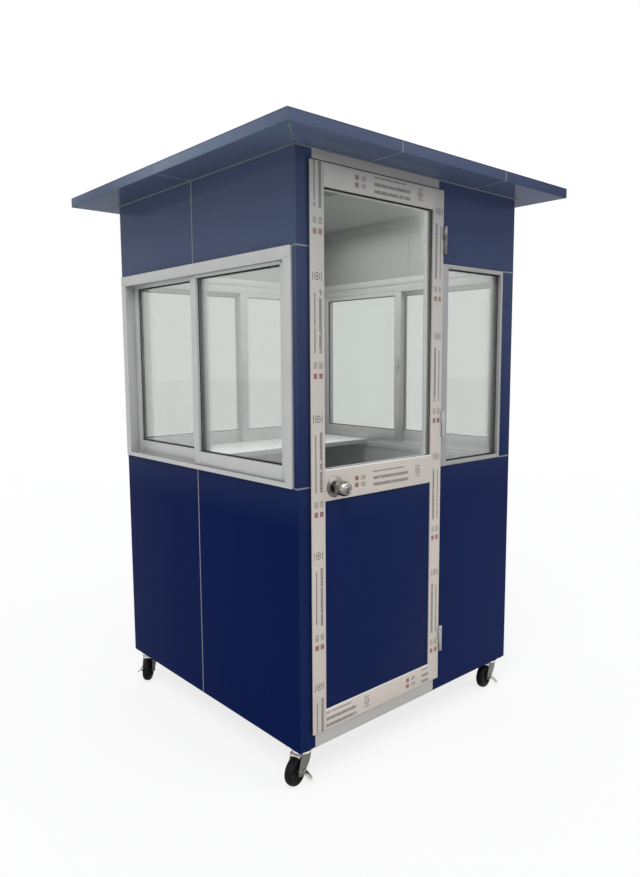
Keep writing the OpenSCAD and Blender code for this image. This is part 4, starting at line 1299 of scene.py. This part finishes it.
class BOOTH_OT_stage(bpy.types.Operator):
    """Pale floor, soft light and the camera"""

    bl_idname = "booth.stage"
    bl_label = "Stage and camera"

    def execute(self, context):
        settings = context.scene.booth_stage
        self.floor(context, settings)
        self.sky(context, settings)
        self.lamps(context, settings)
        self.camera(context, settings)
        context.scene.view_settings.view_transform = "Standard"
        return {"FINISHED"}

    def stand(self, context, name, data):
        """Links a lamp, a camera or the floor into the scene."""
        holder = bpy.data.objects.new(name, data)
        context.scene.collection.objects.link(holder)
        return holder

    def floor(self, context, settings):
        """A pale sheet that keeps the booth's shadow and fades to white further out."""
        mesh = bmesh.new()
        bmesh.ops.create_grid(mesh, x_segments=1, y_segments=1, size=40.0)
        data = bpy.data.meshes.new("stage_floor")
        mesh.to_mesh(data)
        mesh.free()
        finish = Finish("stage_floor_paper")
        paper = finish.shade(finish.noise(0.8, 2.0), settings.floor, 0.99, 1.0)
        matt = finish.node("BsdfDiffuse", None, {"Color": paper})
        glow = finish.node("Emission", None, {"Color": (1, 1, 1, 1), "Strength": 1.0})
        x, y = finish.axes()[:2]
        seen = finish.node("LightPath", output="Is Camera Ray")
        far = (x * x + y * y).held(4.0, 120.0)
        share = seen * (0.78 + 0.22 * far)
        lit = finish.node("MixShader", None, {0: share, 1: matt, 2: glow})
        data.materials.append(finish.close(lit))
        self.stand(context, "stage_floor", data)

    def sky(self, context, settings):
        """White for what is seen directly, in gloss and through glass; plain light otherwise."""
        world = bpy.data.worlds.new("studio_sky")
        context.scene.world = world
        graph = Graph(world)
        path = graph.node("LightPath", output="Is Camera Ray")
        seen = path.maths("MAXIMUM", path, path.beside("Is Glossy Ray"))
        seen = path.maths("MAXIMUM", seen, path.beside("Is Transmission Ray"))
        tone = (0.96, 0.98, 1.0, 1)
        light = graph.node("Background", None, {"Color": tone, "Strength": settings.sky})
        white = graph.node("Background", None, {"Color": (1, 1, 1, 1), "Strength": 1.0})
        both = graph.node("MixShader", None, {0: seen, 1: light, 2: white})
        graph.node("OutputWorld", None, {"Surface": both})

    def lamps(self, context, settings):
        """Two wide suns, and a square lamp that lights the cabin from under its ceiling."""
        for name, strength, degrees, spread in (
            ("key_light", settings.key, (38, 0, -55), 40),
            ("fill_light", settings.fill, (52, 0, 20), 60),
        ):
            lamp = bpy.data.lights.new(name, "SUN")
            lamp.energy = strength
            lamp.angle = math.radians(spread)
            holder = self.stand(context, name, lamp)
            holder.rotation_euler = [math.radians(turn) for turn in degrees]
        low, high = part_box("ceiling")
        lamp = bpy.data.lights.new("cabin_light", "AREA")
        lamp.shape = "SQUARE"
        lamp.size = 0.8
        lamp.energy = settings.cabin
        holder = self.stand(context, "cabin_light", lamp)
        holder.location = ((low.x + high.x) / 2, (low.y + high.y) / 2, low.z - 30 * MM)
        holder.visible_camera = holder.visible_glossy = holder.visible_transmission = False

    def camera(self, context, settings):
        """Stands at the eye; yaw turns it level, pitch tilts it down and roll leans it."""
        yaw, pitch, roll = settings.yaw, settings.pitch, settings.roll
        level = math.cos(pitch)
        ahead = Vector((math.sin(yaw) * level, math.cos(yaw) * level, -math.sin(pitch)))
        right = Vector((math.cos(yaw), -math.sin(yaw), 0))
        up = right.cross(ahead)
        side = right * math.cos(roll) + up * math.sin(roll)
        top = up * math.cos(roll) - right * math.sin(roll)
        turn = Matrix((side, top, -ahead)).transposed().to_4x4()
        data = bpy.data.cameras.new("booth_camera")
        data.lens = settings.lens
        data.sensor_width = 36.0
        camera = self.stand(context, "booth_camera", data)
        camera.matrix_world = Matrix.Translation(Vector(settings.eye)) @ turn
        context.scene.camera = camera


class BOOTH_PT_panel(bpy.types.Panel):
    """Lists the booth's operators and their settings"""

    bl_idname = "BOOTH_PT_panel"
    bl_label = "Guard booth"
    bl_space_type = "VIEW_3D"
    bl_region_type = "UI"
    bl_category = "Booth"

    def draw(self, context):
        for operator in OPERATORS:
            self.layout.operator(operator.bl_idname)
        for name, group in SETTINGS.items():
            box = self.layout.box()
            box.label(text=group.__doc__)
            for field in group.__annotations__:
                box.prop(getattr(context.scene, name), field)


SETTINGS = {
    "booth_panels": BoothPanelSettings,
    "booth_windows": BoothWindowSettings,
    "booth_door": BoothDoorSettings,
    "booth_hardware": BoothHardwareSettings,
    "booth_room": BoothRoomSettings,
    "booth_castors": BoothCastorSettings,
    "booth_stage": BoothStageSettings,
}

OPERATORS = (
    BOOTH_OT_cladding, BOOTH_OT_roof, BOOTH_OT_structure, BOOTH_OT_room, BOOTH_OT_windows,
    BOOTH_OT_glazing, BOOTH_OT_doorway, BOOTH_OT_leaf, BOOTH_OT_lock, BOOTH_OT_hinges,
    BOOTH_OT_desk, BOOTH_OT_castors, BOOTH_OT_stage,
)


def register():
    for kind in (*SETTINGS.values(), *OPERATORS, BOOTH_PT_panel):
        bpy.utils.register_class(kind)
    for name, group in SETTINGS.items():
        setattr(bpy.types.Scene, name, bpy.props.PointerProperty(type=group))


def unregister():
    for name in SETTINGS:
        delattr(bpy.types.Scene, name)
    for kind in (BOOTH_PT_panel, *reversed(OPERATORS), *reversed(SETTINGS.values())):
        bpy.utils.unregister_class(kind)


def main():
    """Builds every piece and the stage."""
    register()
    for operator in OPERATORS:
        group, name = operator.bl_idname.split(".")
        getattr(getattr(bpy.ops, group), name)()


if __name__ == "__main__":
    main()
